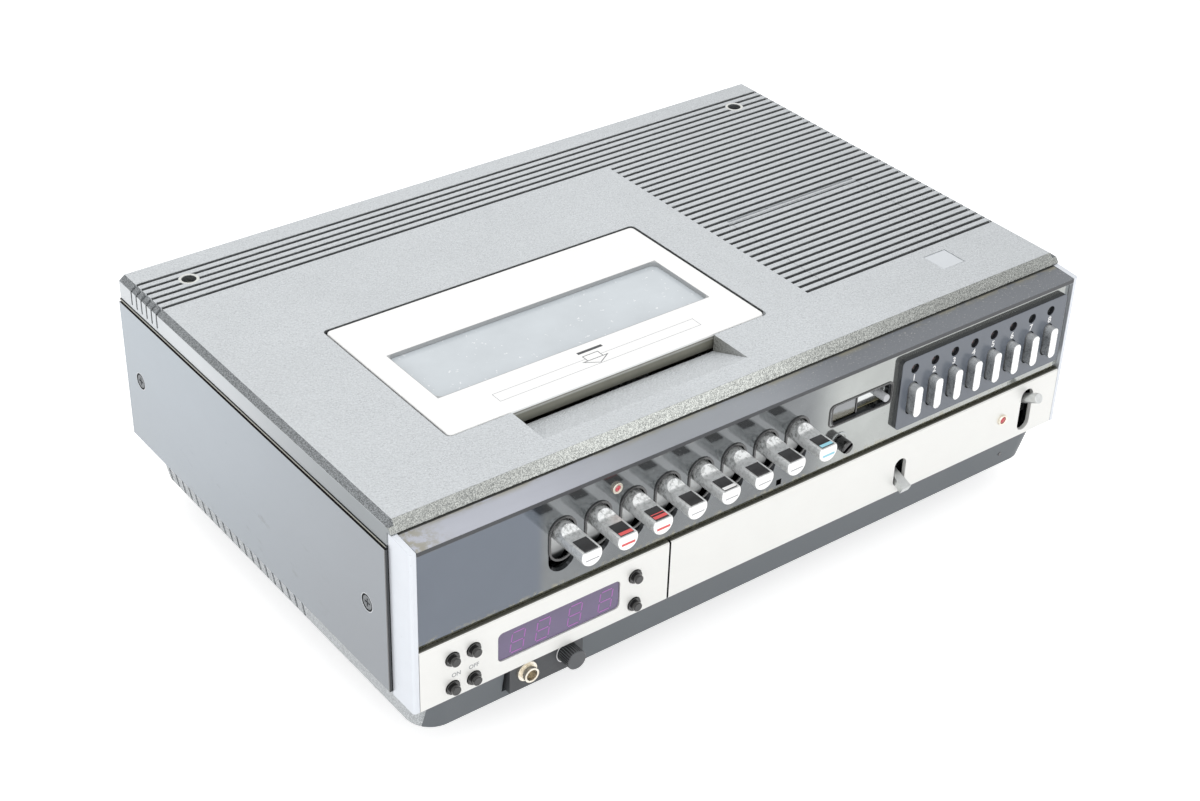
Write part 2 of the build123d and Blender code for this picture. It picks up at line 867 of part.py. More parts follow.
def make_lift_arm_inner():
    arm = arm_plate(lift_side_gap, inner_arm_outer_face, True)
    for along in (0, lift_half):
        arm -= rod_x(lift_pin_radius + running_gap, carriage_left - 30, carriage_left,
                     *arm_point(along, True))
    arm += rod_x(lift_pin_radius, carriage_left - rail_outer_face + 0.2,
                 carriage_left - inner_arm_outer_face + 0.5, *arm_point(lift_arm_length, True))
    pair = lift_pair(arm)
    inner_face = carriage_left - lift_side_gap - 0.5
    rod = rod_x(lift_rod_radius, inner_face, 2 * lid_middle_x - inner_face,
                *arm_point(lift_rod_offset, True))
    return pair[0] + pair[1] + rod


def make_carriage():
    left = carriage_left
    wall = block(left, left + carriage_wall, carriage_front, carriage_back, carriage_bottom,
                 carriage_top)
    wall += block(left, left + carriage_ledge_width, carriage_front, carriage_back, carriage_bottom,
                  carriage_bottom + carriage_plate)
    tab_low = carriage_bottom - carriage_tab
    wall += block(left, left + carriage_wall, lift_pivot_depth - 5, lift_pivot_depth + 5, tab_low,
                  carriage_bottom + 1)
    slot_far = lift_pivot_depth - lift_run
    wall += block(left, left + carriage_wall, slot_far - 6, slot_far + lift_slot_travel + 6, tab_low,
                  carriage_bottom + 1)
    wall -= block(left - 1, left + carriage_wall + 1, slot_far - 2.6,
                  slot_far + lift_slot_travel + 2.6, lift_top_height - lift_slot_half,
                  lift_top_height + lift_slot_half)
    wall += rod_x(lift_pin_radius, left - inner_arm_outer_face - 0.1, left + carriage_wall,
                  lift_pivot_depth, lift_top_height)
    pad_x = left + carriage_pad
    for depth in (carriage_front + carriage_pad, carriage_back - carriage_pad):
        wall += block(pad_x - carriage_pad / 2, pad_x + carriage_pad / 2, depth - carriage_pad / 2,
                      depth + carriage_pad / 2, carriage_top - carriage_plate,
                      lid_under - seat_gap)
    pair = lift_pair(wall)
    top = block(left, carriage_right, carriage_front, carriage_back, carriage_top - carriage_plate,
                carriage_top)
    top -= rounded_slab(lid_middle_x, lid_window_middle, lid_window_width, lid_window_length,
                        lid_window_corner, carriage_top - 5, carriage_top + 5)
    stop = block(left, carriage_right, carriage_back - carriage_wall, carriage_back,
                 carriage_bottom, carriage_bottom + 4)
    return pair[0] + pair[1] + top + stop


# Deck and tape transport

def make_deck_chassis():
    deck = block(deck_left_x, deck_right_x, deck_front, deck_back, deck_plate_bottom, deck_plate_top)
    for x in (deck_left_x + 10, deck_right_x - 10):
        for depth in (deck_front + 20, deck_back - 12):
            deck += block(x - deck_leg / 2, x + deck_leg / 2, depth - deck_leg / 2,
                          depth + deck_leg / 2, plinth_floor_top, deck_plate_bottom + 1)
    rail = block(carriage_left - rail_outer_face, carriage_left - rail_inner_face, rail_front,
                 rail_back, deck_plate_top - 1, lift_pivot_height + rail_above_pivot)
    slot_far = lift_pivot_depth - lift_run
    rail -= block(carriage_left - rail_outer_face - 1, carriage_left - rail_inner_face + 1,
                  slot_far - 2.6, slot_far + lift_slot_travel + 2.6,
                  lift_pivot_height - lift_slot_half, lift_pivot_height + lift_slot_half)
    rail += rod_x(lift_pin_radius, carriage_left - rail_outer_face,
                  carriage_left - outer_arm_inner_face - 0.1, lift_pivot_depth, lift_pivot_height)
    for piece in lift_pair(rail):
        deck += piece
    post_top = deck_plate_top + reel_table_height + reel_hub_height + reel_spindle_height - 3
    for side in (-1, 1):
        deck += rod_z(reel_post_radius, lid_middle_x + side * reel_spacing / 2, reel_depth,
                      deck_plate_top - 1, post_top)
    deck += rod_z(capstan_bearing_radius, capstan_x, capstan_depth, deck_plate_bottom - 6,
                  deck_plate_top + 8)
    deck -= rod_z(capstan_radius + running_gap, capstan_x, capstan_depth, 0, overall_height)
    shaft_left = key_first_x - key_shield_width / 2 - 2
    shaft_right = key_last_x + key_shield_width / 2 + 2
    for x0, x1 in ((shaft_left - key_bracket, shaft_left), (shaft_right, shaft_right + key_bracket)):
        deck += block(x0, x1, key_pivot_depth - 6, key_pivot_depth + 6, deck_plate_top - 1,
                      key_pivot_height + 6)
    deck += rod_x(key_shaft_radius, shaft_left - 1, shaft_right + 1, key_pivot_depth,
                  key_pivot_height)
    return deck


def make_reel(side):
    x = lid_middle_x + side * reel_spacing / 2
    z = deck_plate_top + seat_gap
    reel = rod_z(reel_table_radius, x, reel_depth, z, z + reel_table_height)
    reel += rod_z(reel_hub_radius, x, reel_depth, z, z + reel_table_height + reel_hub_height)
    spindle_base = z + reel_table_height + reel_hub_height
    reel += rod_z(reel_spindle_radius - reel_fin, x, reel_depth, z,
                  spindle_base + reel_spindle_height)
    for i in range(6):
        fin = Pos(reel_spindle_radius / 2, 0, reel_spindle_height / 2 - 1.5)
        fin = fin * Box(reel_spindle_radius, 2.0, reel_spindle_height - 3)
        reel += Pos(x, at(reel_depth), spindle_base) * Rot(0, 0, 60 * i) * fin
    reel -= rod_z(reel_post_radius + running_gap, x, reel_depth, z - 1,
                  spindle_base + reel_spindle_height - 2)
    return reel


def make_tape_path():
    x = lid_middle_x
    low = deck_plate_top
    top = low + drum_lower_height
    lower_drum = rod_z(drum_radius, x, drum_depth, low, top)
    lower_drum += rod_z(drum_post_radius, x, drum_depth, top - 1, top + drum_upper_height - 2)
    pieces = [lower_drum]
    for dx, depth in ((-66, 190), (66, 190), (-44, 196), (44, 196)):
        post = rod_z(guide_radius, x + dx, depth, low, low + guide_height)
        post += rod_z(guide_radius + 1.5, x + dx, depth, low, low + 8)
        post += rod_z(guide_radius + 1.5, x + dx, depth, low + guide_height - 3, low + guide_height)
        pieces.append(post)
    pieces.append(block(x - 62, x - 50, 204, 216, low, low + 33))
    pieces.append(block(x + 50, x + 62, 204, 216, low, low + 33))
    return pieces


def make_head_drum():
    low = deck_plate_top + drum_lower_height + seat_gap
    drum = rod_z(drum_radius, lid_middle_x, drum_depth, low, low + drum_upper_height)
    drum += rod_z(drum_radius * 0.4, lid_middle_x, drum_depth, low, low + drum_upper_height + 3)
    drum -= rod_z(drum_post_radius + running_gap, lid_middle_x, drum_depth, low - 1,
                  low + drum_upper_height - 1.5)
    return drum


def make_capstan_flywheel():
    top = deck_plate_bottom - flywheel_below_deck
    wheel = rod_z(flywheel_radius, capstan_x, capstan_depth, top - flywheel_thickness, top)
    wheel -= rod_z(flywheel_radius - 8, capstan_x, capstan_depth, top - 3, top + 1)
    wheel += rod_z(4, capstan_x, capstan_depth, top - flywheel_thickness, top)
    wheel += rod_z(capstan_radius, capstan_x, capstan_depth, top - 1, capstan_top_height)
    return wheel


# Piano keys

def shield_point(radius, height):
    """A point of the curved shield at this height above the key pivot."""
    angle = asin(height / radius)
    return key_pivot_depth - radius * cos(angle), key_pivot_height + height


def make_key(x):
    tip = -key_reach
    bar = rod_y(key_radius, x, key_axis_height, tip, fascia_back + 2)
    bar = fillet(edges_at(bar, Axis.Y, at(tip)), key_tip_round)
    scoop_axis = key_flat_height + key_scoop_radius
    bar -= block(x - 10, x + 10, tip - 1, -key_scoop_start, key_flat_height, scoop_axis + 5)
    bar -= rod_x(key_scoop_radius, x - 10, x + 10, -key_scoop_start, scoop_axis)
    half = key_shield_width / 2
    outer = key_shield_radius
    inner = outer - key_shield_thickness
    start = shield_point(outer, -key_shield_low)
    middle = shield_point(outer, 0)
    end = shield_point(outer, key_shield_high)
    back_end = shield_point(inner, key_shield_high)
    back_middle = shield_point(inner, 0)
    back_start = shield_point(inner, -key_shield_low)
    as_points = [(x - half, at(d), z) for d, z in (start, middle, end, back_end, back_middle,
                                                  back_start)]
    wire = Wire([ThreePointArc(as_points[0], as_points[1], as_points[2]),
                 Line(as_points[2], as_points[3]),
                 ThreePointArc(as_points[3], as_points[4], as_points[5]),
                 Line(as_points[5], as_points[0])])
    shield = extrude(Face(wire), amount=key_shield_width, dir=(1, 0, 0))
    arm = block(x - key_arm_width / 2, x + key_arm_width / 2, fascia_back + 1.5, key_pivot_depth,
                key_pivot_height - key_arm_height / 2, key_pivot_height + key_arm_height / 2)
    hub = rod_x(key_hub_radius, x - half, x + half, key_pivot_depth, key_pivot_height)
    key = bar + shield + arm + hub
    key -= rod_x(key_shaft_radius + running_gap, x - half - 1, x + half + 1, key_pivot_depth,
                 key_pivot_height)
    return key


# Front panel

def lever_cheeks(x, depth, height, hub_half, slot_width):
    """Two cheeks behind the fascia with the axle that a lever turns on."""
    radius = lever_hub_radius + 1.5
    pieces = []
    for side in (-1, 1):
        inner = x + side * (hub_half + seat_gap)
        outer = x + side * (slot_width / 2 + lever_cheek)
        pieces.append(block(min(inner, outer), max(inner, outer), fascia_back, depth + radius,
                            height - radius, height + radius))
    reach = hub_half + seat_gap
    pieces.append(rod_x(lever_axle_radius, x - reach, x + reach, depth, height))
    return pieces


def lever_field():
    """The fascia behind the selector panel: blocks with the two lever slots between them."""
    top = mode_slot_middle + mode_slot_height / 2
    record_half = record_slot_width / 2
    mode_half = mode_slot_width / 2
    spans = ((lever_field_left, record_lever_x - record_half),
             (record_lever_x + record_half, mode_lever_x - mode_half),
             (mode_lever_x + mode_half, panel_half_width))
    pieces = []
    for left, right in spans:
        strip = block(left, right, fascia_depth, fascia_back, panel_bottom_height, top)
        if left < mode_lamp_x < right:
            strip -= rod_y(lamp_radius + running_gap, mode_lamp_x, mode_lamp_height, 0,
                           fascia_back + 1)
        pieces.append(strip)
    pieces.append(block(record_lever_x - record_half, record_lever_x + record_half, fascia_depth,
                        fascia_back, record_slot_middle + record_slot_height / 2, top))
    return pieces


def counter_tray():
    tray = rounded_hole(counter_left_x - 2, counter_right_x + 2,
                        counter_middle_height - counter_height / 2 - 2,
                        counter_middle_height + counter_height / 2 + 2, counter_corner + 2,
                        fascia_back - 0.5, counter_floor_back)
    tray -= rounded_hole(counter_left_x, counter_right_x,
                         counter_middle_height - counter_height / 2,
                         counter_middle_height + counter_height / 2, counter_corner,
                         fascia_depth - 1, counter_floor_depth)
    half_wheel = counter_wheel_width / 2
    left = counter_first_wheel_x - half_wheel - 0.5
    right = counter_last_wheel_x + half_wheel + 0.5
    tray -= block(left, right, fascia_depth, counter_floor_back + 1,
                  counter_middle_height - counter_height / 2 + 0.8,
                  counter_middle_height + counter_height / 2 - 0.8)
    for x0, x1 in ((left - counter_cheek, left), (right, right + counter_cheek)):
        tray += block(x0, x1, counter_floor_back - 0.5, counter_axle_depth + 3,
                      counter_middle_height - 3, counter_middle_height + 3)
    tray += rod_x(counter_axle_radius, left - 0.5, right + 0.5, counter_axle_depth,
                  counter_middle_height)
    return tray


def make_front_fascia():
    fascia = block(-panel_half_width, panel_half_width, fascia_depth, fascia_back,
                   panel_bottom_height, fascia_top_height)
    slot_height = key_slot_low + 2 * key_slot_half_width
    slot_middle = key_axis_height - key_slot_low / 2
    for x in key_xs:
        hole = tall_slot(x, slot_middle, 2 * key_slot_half_width, slot_height, fascia_depth - 1,
                         fascia_back + 1)
        fascia -= hole
        wide = front_plane(x, fascia_depth, slot_middle) * SlotOverall(
            slot_height + 2 * key_slot_bevel, 2 * (key_slot_half_width + key_slot_bevel), rotation=90)
        narrow = front_plane(x, fascia_depth + key_slot_bevel, slot_middle) * SlotOverall(
            slot_height, 2 * key_slot_half_width, rotation=90)
        fascia -= loft([wide, narrow])
    fascia -= block(-panel_half_width - 1, panel_half_width + 1, fascia_depth - 1,
                    fascia_depth + shadow_groove_depth, plate_top_height,
                    plate_top_height + shadow_groove)
    for x in channel_xs:
        fascia -= tall_slot(x, channel_button_middle, channel_button_width + 2 * channel_slot_gap,
                            channel_button_height + 2 * channel_slot_gap, 0, fascia_back + 1)
        fascia -= rod_y(channel_lamp_radius + running_gap, x, channel_lamp_height, 0,
                        fascia_back + 1)
    for x, z in clock_button_places().values():
        fascia -= rod_y(clock_hole_radius, x, z, 0, fascia_back + 1)
    flange = clock_window_flange + seat_gap
    fascia -= rounded_hole(clock_window_left - flange, clock_window_right + flange,
                           clock_window_bottom - flange, clock_window_top + flange,
                           clock_window_corner + flange, fascia_depth - 1,
                           fascia_depth + clock_window_thickness)
    fascia -= block(lever_field_left, panel_half_width + 1, 0, fascia_back + 1,
                    panel_bottom_height - 1, mode_slot_middle + mode_slot_height / 2)
    fascia -= rod_y(lamp_radius + running_gap, record_lamp_x, record_lamp_height, 0,
                    fascia_back + 1)
    hole = rounded_hole(counter_left_x, counter_right_x, counter_middle_height - counter_height / 2,
                        counter_middle_height + counter_height / 2, counter_corner,
                        fascia_depth - 1, fascia_back + 1)
    fascia -= hole
    wide = front_plane(counter_middle_x, fascia_depth, counter_middle_height) * RectangleRounded(
        counter_width + 2 * counter_bevel, counter_height + 2 * counter_bevel,
        counter_corner + counter_bevel)
    narrow = front_plane(counter_middle_x, fascia_depth + counter_bevel, counter_middle_height)
    fascia -= loft([wide, narrow * RectangleRounded(counter_width, counter_height, counter_corner)])
    tray = counter_tray()
    tray -= rod_y(reset_radius + slide_gap / 2, reset_x, counter_middle_height, 0,
                  counter_floor_back + 1)
    fascia += tray
    ring = rod_y(memory_ring_radius, memory_x, memory_height, fascia_depth - memory_ring_rise,
                 fascia_depth + 0.5)
    fascia += ring - rod_y(memory_ring_inner_radius, memory_x, memory_height, 0, fascia_back)
    fascia -= rod_y(memory_stem_radius + running_gap, memory_x, memory_height, 0, fascia_back + 1)
    fascia -= block(peep_x - peep_size / 2, peep_x + peep_size / 2, 0, fascia_depth + peep_cut,
                    peep_height - peep_size / 2, peep_height + peep_size / 2)
    cheeks = lever_cheeks(record_lever_x, record_pivot_depth, record_slot_middle,
                          record_hub_width / 2, record_slot_width)
    cheeks += lever_cheeks(mode_lever_x, mode_pivot_depth, mode_slot_middle, mode_lever_radius,
                           mode_slot_width)
    return [fascia] + lever_field() + cheeks


def make_channel_plate():
    plate = rounded_hole(channel_plate_left, channel_plate_right, channel_plate_bottom,
                         channel_plate_top, channel_plate_corner, channel_plate_front, fascia_depth)
    for x in channel_xs:
        plate -= tall_slot(x, channel_button_middle, channel_button_width + 2 * channel_slot_gap,
                           channel_button_height + 2 * channel_slot_gap, channel_plate_front - 1,
                           fascia_depth + 1)
        plate -= rod_y(channel_lamp_hole_radius, x, channel_lamp_height, channel_plate_front - 1,
                       fascia_depth + 1)
    return plate


def make_channel_button(x):
    button = tall_slot(x, channel_button_middle, channel_button_width, channel_button_height,
                       -channel_button_front, fascia_back + 6)
    button = fillet(edges_at(button, Axis.Y, at(-channel_button_front)), 0.5)
    half_width_here = channel_button_width / 2 + channel_slot_gap + channel_flange
    half_height = channel_button_height / 2 + channel_slot_gap + channel_flange
    button += block(x - half_width_here, x + half_width_here, fascia_back + seat_gap,
                    fascia_back + seat_gap + 1.5, channel_button_middle - half_height,
                    channel_button_middle + half_height)
    return button


def plate_blank(x0, x1):
    profile = [(0, panel_bottom_height), (0, plate_top_height - plate_edge_bevel),
               (plate_edge_bevel, plate_top_height), (plate_thickness, plate_top_height),
               (plate_thickness, panel_bottom_height)]
    return across(profile, x0, x1)


def clock_button_places():
    return {
        "clock_button": (clock_outer_x, clock_button_upper),
        "day_button": (clock_inner_x, clock_button_upper),
        "timer_on_button": (clock_outer_x, clock_button_lower),
        "timer_off_button": (clock_inner_x, clock_button_lower),
        "hour_button": (clock_right_x, clock_button_upper),
        "minute_button": (clock_right_x, clock_button_lower),
    }


def make_clock_panel():
    panel = plate_blank(-panel_half_width, plate_joint_x - plate_joint_gap / 2)
    panel -= rounded_hole(clock_window_left, clock_window_right, clock_window_bottom,
                          clock_window_top, clock_window_corner, -1, plate_thickness + 1)
    for x, z in clock_button_places().values():
        panel -= rod_y(clock_hole_radius, x, z, -1, plate_thickness + 1)
    return panel


def make_selector_panel():
    panel = plate_blank(plate_joint_x + plate_joint_gap / 2, panel_half_width)
    panel -= tall_slot(record_lever_x, record_slot_middle, record_slot_width, record_slot_height,
                       -1, plate_thickness + 1)
    panel -= tall_slot(mode_lever_x, mode_slot_middle, mode_slot_width, mode_slot_height, -1,
                       plate_thickness + 1)
    panel -= rod_y(lamp_radius + running_gap, mode_lamp_x, mode_lamp_height, -1,
                   plate_thickness + 1)
    return panel


def make_clock_window():
    gap = seat_gap
    flange = clock_window_flange
    window = rounded_hole(clock_window_left + gap, clock_window_right - gap,
                          clock_window_bottom + gap, clock_window_top - gap,
                          clock_window_corner - gap, clock_window_recess, fascia_depth + 0.5)
    window += rounded_hole(clock_window_left - flange, clock_window_right + flange,
                           clock_window_bottom - flange, clock_window_top + flange,
                           clock_window_corner + flange, fascia_depth + 0.05,
                           fascia_depth + clock_window_thickness - 0.05)
    return window


def make_clock_button(x, z):
    button = rod_y(clock_cap_radius, x, z, -clock_cap_front, fascia_back)
    button = fillet(edges_at(button, Axis.Y, at(-clock_cap_front)), 0.6)
    button += rod_y(clock_collar_radius, x, z, -clock_collar_front, fascia_back + 1)
    button += rod_y(clock_flange_radius, x, z, fascia_back + seat_gap, fascia_back + seat_gap + 1.2)
    return button


def make_record_lever():
    angle = radians(record_lever_angle)
    plane_dir = (0, -cos(angle), -sin(angle))
    root = Plane(origin=(record_lever_x, at(record_pivot_depth), record_slot_middle),
                 x_dir=(1, 0, 0), z_dir=plane_dir)
    tip_origin = (record_lever_x, at(record_pivot_depth) - record_lever_length * cos(angle),
                  record_slot_middle - record_lever_length * sin(angle))
    tip = Plane(origin=tip_origin, x_dir=(1, 0, 0), z_dir=plane_dir)
    lever = loft([root * Rectangle(record_root_width, record_root_thickness),
                  tip * Rectangle(record_tip_width, record_tip_thickness)])
    lever += rod_x(lever_hub_radius, record_lever_x - record_hub_width / 2,
                   record_lever_x + record_hub_width / 2, record_pivot_depth, record_slot_middle)
    lever -= rod_x(lever_axle_radius + running_gap, record_lever_x - 6, record_lever_x + 6,
                   record_pivot_depth, record_slot_middle)
    return lever


def make_mode_lever():
    angle = radians(mode_lever_angle)
    shaft_plane = Plane(origin=(mode_lever_x, at(mode_pivot_depth), mode_slot_middle),
                        x_dir=(1, 0, 0), z_dir=(0, -cos(angle), sin(angle)))
    lever = extrude(shaft_plane * Circle(mode_lever_radius), amount=mode_lever_length)
    tip = lever.faces().sort_by(Axis.Y)[0]
    lever = fillet(tip.edges(), 0.5)
    lever += rod_x(lever_hub_radius, mode_lever_x - mode_lever_radius,
                   mode_lever_x + mode_lever_radius, mode_pivot_depth, mode_slot_middle)
    lever -= rod_x(lever_axle_radius + running_gap, mode_lever_x - 6, mode_lever_x + 6,
                   mode_pivot_depth, mode_slot_middle)
    return lever


def make_counter_reset_button():
    button = rod_y(reset_radius, reset_x, counter_middle_height, -reset_front,
                   counter_floor_back + 2)
    button = fillet(edges_at(button, Axis.Y, at(-reset_front)), 0.4)
    button += rod_y(reset_radius + 1.2, reset_x, counter_middle_height,
                    counter_floor_back + seat_gap, counter_floor_back + seat_gap + 1.5)
    return button


def make_memory_switch():
    switch = rod_y(memory_radius, memory_x, memory_height, -memory_front, fascia_depth - seat_gap)
    switch = chamfer(edges_at(switch, Axis.Y, at(-memory_front)), 0.5)
    notch = Plane(origin=(memory_x, at(-memory_front), memory_height), x_dir=(1, 0, 0),
                  z_dir=(0, -1, 0))
    notch = notch * Rot(0, 0, 35) * Box(4 * memory_radius, memory_notch, 2 * memory_notch)
    switch -= notch
    switch += rod_y(memory_stem_radius, memory_x, memory_height, fascia_depth - 1, fascia_back + 2)
    return switch


def make_counter_drums():
    half = counter_wheel_width / 2
    drums = rod_x(counter_hub_radius, counter_first_wheel_x - half, counter_last_wheel_x + half,
                  counter_axle_depth, counter_middle_height)
    for i in range(counter_wheel_count):
        x = counter_first_wheel_x + counter_wheel_pitch * i
        drums += rod_x(counter_wheel_radius, x - half, x + half, counter_axle_depth,
                       counter_middle_height)
    drums -= rod_x(counter_axle_radius + running_gap, counter_first_wheel_x - half - 1,
                   counter_last_wheel_x + half + 1, counter_axle_depth, counter_middle_height)
    return drums


def make_end_trims():
    top_back = cover_front_height - seat_gap
    profile = [(0, panel_bottom_height), (0, ledge_front_height), (end_trim_depth, top_back),
               (end_trim_depth, panel_bottom_height)]
    right = across(profile, trim_inner_x, trim_outer_x)
    front_edges = edges_at(right, Axis.Y, at(0)).filter_by(Axis.Z)
    right = fillet(front_edges.sort_by(Axis.X)[-1], end_trim_round)
    return [mirror(right, about=Plane.YZ), right]


def make_front_ledge():
    profile = [(0, ledge_lip_height), (0, ledge_front_height), (ledge_length, ledge_back_height),
               (ledge_length, ledge_back_height - ledge_thickness),
               (fascia_back + 0.5, ledge_lip_height + 0.4), (fascia_back + 0.5, ledge_lip_height)]
    return across(profile, -panel_half_width, panel_half_width)


def make_indicator_lamps():
    lamps = []
    start = -lamp_proud
    for x, z, front in ((record_lamp_x, record_lamp_height, start + fascia_depth),
                        (mode_lamp_x, mode_lamp_height, start)):
        lamp = rod_y(lamp_radius, x, z, front, front + lamp_length)
        lamps.append(fillet(edges_at(lamp, Axis.Y, at(front)), lamp_radius * 0.9))
    for x in channel_xs:
        lamp = rod_y(channel_lamp_radius, x, channel_lamp_height, fascia_depth - 1.2,
                     fascia_back + 3)
        lamps.append(fillet(edges_at(lamp, Axis.Y, at(fascia_depth - 1.2)),
                            channel_lamp_radius * 0.8))
    start = plinth_front_at(power_lamp_height) - power_lamp_proud
    lamps.append(rod_y(power_lamp_radius, power_lamp_x, power_lamp_height, start, start + 5))
    return lamps


def make_socket_plate():
    back = socket_plate_depth + socket_plate_thickness
    top = panel_bottom_height - 2 * seat_gap
    plate = block(socket_plate_left, socket_plate_right, socket_plate_depth, back,
                  socket_plate_bottom, top)
    wall = socket_plate_wall
    plate -= block(socket_plate_left + wall, socket_plate_right - wall,
                   socket_plate_depth + wall, back + 1, socket_plate_bottom + wall, top - wall)
    flange = socket_plate_flange
    flange_front = back - socket_plate_flange_thickness
    plate += block(socket_plate_left - flange, socket_plate_left + 1, flange_front, back,
                   socket_plate_bottom, top)
    plate += block(socket_plate_right - 1, socket_plate_right + flange, flange_front, back,
                   socket_plate_bottom, top)
    plate -= rod_y(jack_body_radius + 0.1, jack_x, socket_axis_height, 0, back + 1)
    plate -= rod_y(tracking_shaft_radius + running_gap, tracking_x, socket_axis_height, 0, back + 1)
    return plate


def make_mic_jack():
    face = socket_plate_depth
    front = face - jack_flange_thickness
    jack = rod_y(jack_flange_radius, jack_x, socket_axis_height, front, face)
    jack += rod_y(jack_barrel_radius, jack_x, socket_axis_height, front - jack_barrel_length, face)
    jack += rod_y(jack_body_radius, jack_x, socket_axis_height, face - 0.5, face + jack_body_length)
    jack -= rod_y(jack_bore_radius, jack_x, socket_axis_height, front - jack_barrel_length - 1,
                  front - jack_barrel_length + jack_bore_depth)
    return jack


def make_tracking_knob():
    face = socket_plate_depth
    knob = rod_y(tracking_radius, tracking_x, socket_axis_height, -tracking_front, face - seat_gap)
    knob = chamfer(edges_at(knob, Axis.Y, at(-tracking_front)), 0.5)
    knob += rod_y(tracking_shaft_radius, tracking_x, socket_axis_height, face - 1,
                  face + socket_plate_thickness + 4)
    return knob


# Rear panel and electrical units

def make_rear_panel():
    half = side_panel_inner - seat_gap
    upper_half = cover_side_half - cover_wall - seat_gap
    panel = block(-half, half, rear_panel_depth, rear_panel_back, panel_bottom_height,
                  cover_bottom_height - seat_gap)
    panel += block(-upper_half, upper_half, rear_panel_depth, rear_panel_back,
                   panel_bottom_height, rear_panel_top)
    panel += block(-half, half, rear_panel_depth, rear_panel_depth + rear_flange,
                   panel_bottom_height, panel_bottom_height + 1.6)
    tab_top = overall_height - cover_screw_boss - seat_gap
    for side in (-1, 1):
        x = side * cover_screw_x
        panel += block(x - rear_tab_width / 2, x + rear_tab_width / 2,
                       rear_panel_depth - rear_tab_length, rear_panel_depth + 1,
                       tab_top - rear_tab_thickness, tab_top)
        panel -= rod_z(screw_shank_radius + 0.2, x, cover_screw_depth, tab_top - 10, tab_top + 1)
    panel += rod_y(gland_radius, gland_x, gland_height, rear_panel_depth,
                   rear_panel_back + gland_proud)
    panel -= rod_y(gland_bore_radius, gland_x, gland_height, rear_panel_depth - 1,
                   rear_panel_back + gland_proud + 1)
    return panel


def rear_socket(x, z, radius, bore, pin):
    face = rear_panel_back
    socket = rod_y(radius, x, z, face, face + socket_proud)
    socket -= rod_y(bore, x, z, face + socket_floor, face + socket_proud + 1)
    if pin > 0:
        socket += rod_y(pin, x, z, face + socket_floor / 2, face + socket_proud - 1.5)
    return socket


def make_rear_sockets():
    sockets = []
    for i in range(2):
        sockets.append(rear_socket(aerial_first_x + aerial_pitch * i, aerial_height, aerial_radius,
                                   aerial_bore_radius, 1.2 if i else 0))
    for i in range(phono_count):
        sockets.append(rear_socket(phono_first_x + phono_pitch * i, phono_height, phono_radius,
                                   phono_bore_radius, 0))
    sockets.append(rear_socket(remote_x, remote_height, remote_radius, remote_bore_radius, 0))
    return sockets


def make_power_unit():
    floor = plinth_floor_top
    half_x = transformer_width / 2
    half_y = transformer_length / 2
    core = block(transformer_x - half_x, transformer_x + half_x, transformer_depth - half_y,
                 transformer_depth + half_y, floor, floor + transformer_height)
    core_front = transformer_depth - half_y
    core_back = transformer_depth + half_y
    pieces = [core]
    for front, back in ((core_front - transformer_coil_overhang, core_front),
                        (core_back, core_back + transformer_coil_overhang)):
        pieces.append(block(transformer_x - half_x + 12, transformer_x + half_x - 12, front, back,
                            floor + 10, floor + transformer_height - 10))
    board_low = floor + board_above_floor
    part_low = board_low + board_thickness
    pieces.append(block(board_left, board_right, board_front, board_back, board_low, part_low))
    for x in (board_left + 8, board_right - 8):
        for depth in (board_front + 8, board_back - 8):
            pieces.append(rod_z(board_pillar_radius, x, depth, floor, board_low))
    for i in range(5):
        x = board_left + 26 + 32 * i
        pieces.append(block(x - 9, x + 9, board_front + 24, board_front + 40, part_low,
                            part_low + board_part_height))
        pieces.append(rod_z(5, x, board_front + 80, part_low, part_low + board_part_height * 1.4))
    return pieces


def make_tuner_unit():
    left = hatch_left_x + tuner_side_inset
    right = hatch_right_x - tuner_side_inset
    front = hatch_front + tuner_side_inset
    back = hatch_back - tuner_side_inset
    top = cover_under - tuner_below_cover
    low = top - tuner_box_height
    unit = block(left, right, front, back, low, top)
    pieces = []
    for x in (left, right - tuner_leg):
        for depth in (front, back - tuner_leg):
            pieces.append(block(x, x + tuner_leg, depth, depth + tuner_leg, plinth_floor_top, low))
    middle = (left + right) / 2
    for i in range(channel_count):
        x = middle + (i - (channel_count - 1) / 2) * tuner_wheel_pitch
        half = tuner_wheel_thickness / 2
        depth = front + 18
        centre = top - tuner_wheel_radius + 2.5
        unit -= block(x - half - seat_gap, x + half + seat_gap, depth - tuner_wheel_radius - 1,
                      depth + tuner_wheel_radius + 1, centre - tuner_wheel_radius - seat_gap,
                      top + 1)
        pieces.append(rod_x(tuner_wheel_radius, x - half, x + half, depth, centre))
    return [unit] + pieces


def write_node(name, shapes):
    solids = []
    for shape in (shapes if isinstance(shapes, list) else [shapes]):
        solids.extend(shape.solids())
    node = solids[0] if len(solids) == 1 else Compound(children=solids)
    node.label = name
    export_step(node, "parts/" + name + ".step")


key_names = ["eject_key", "record_key", "audio_dub_key", "rewind_key", "play_key",
             "fast_forward_key", "stop_key", "pause_key"]

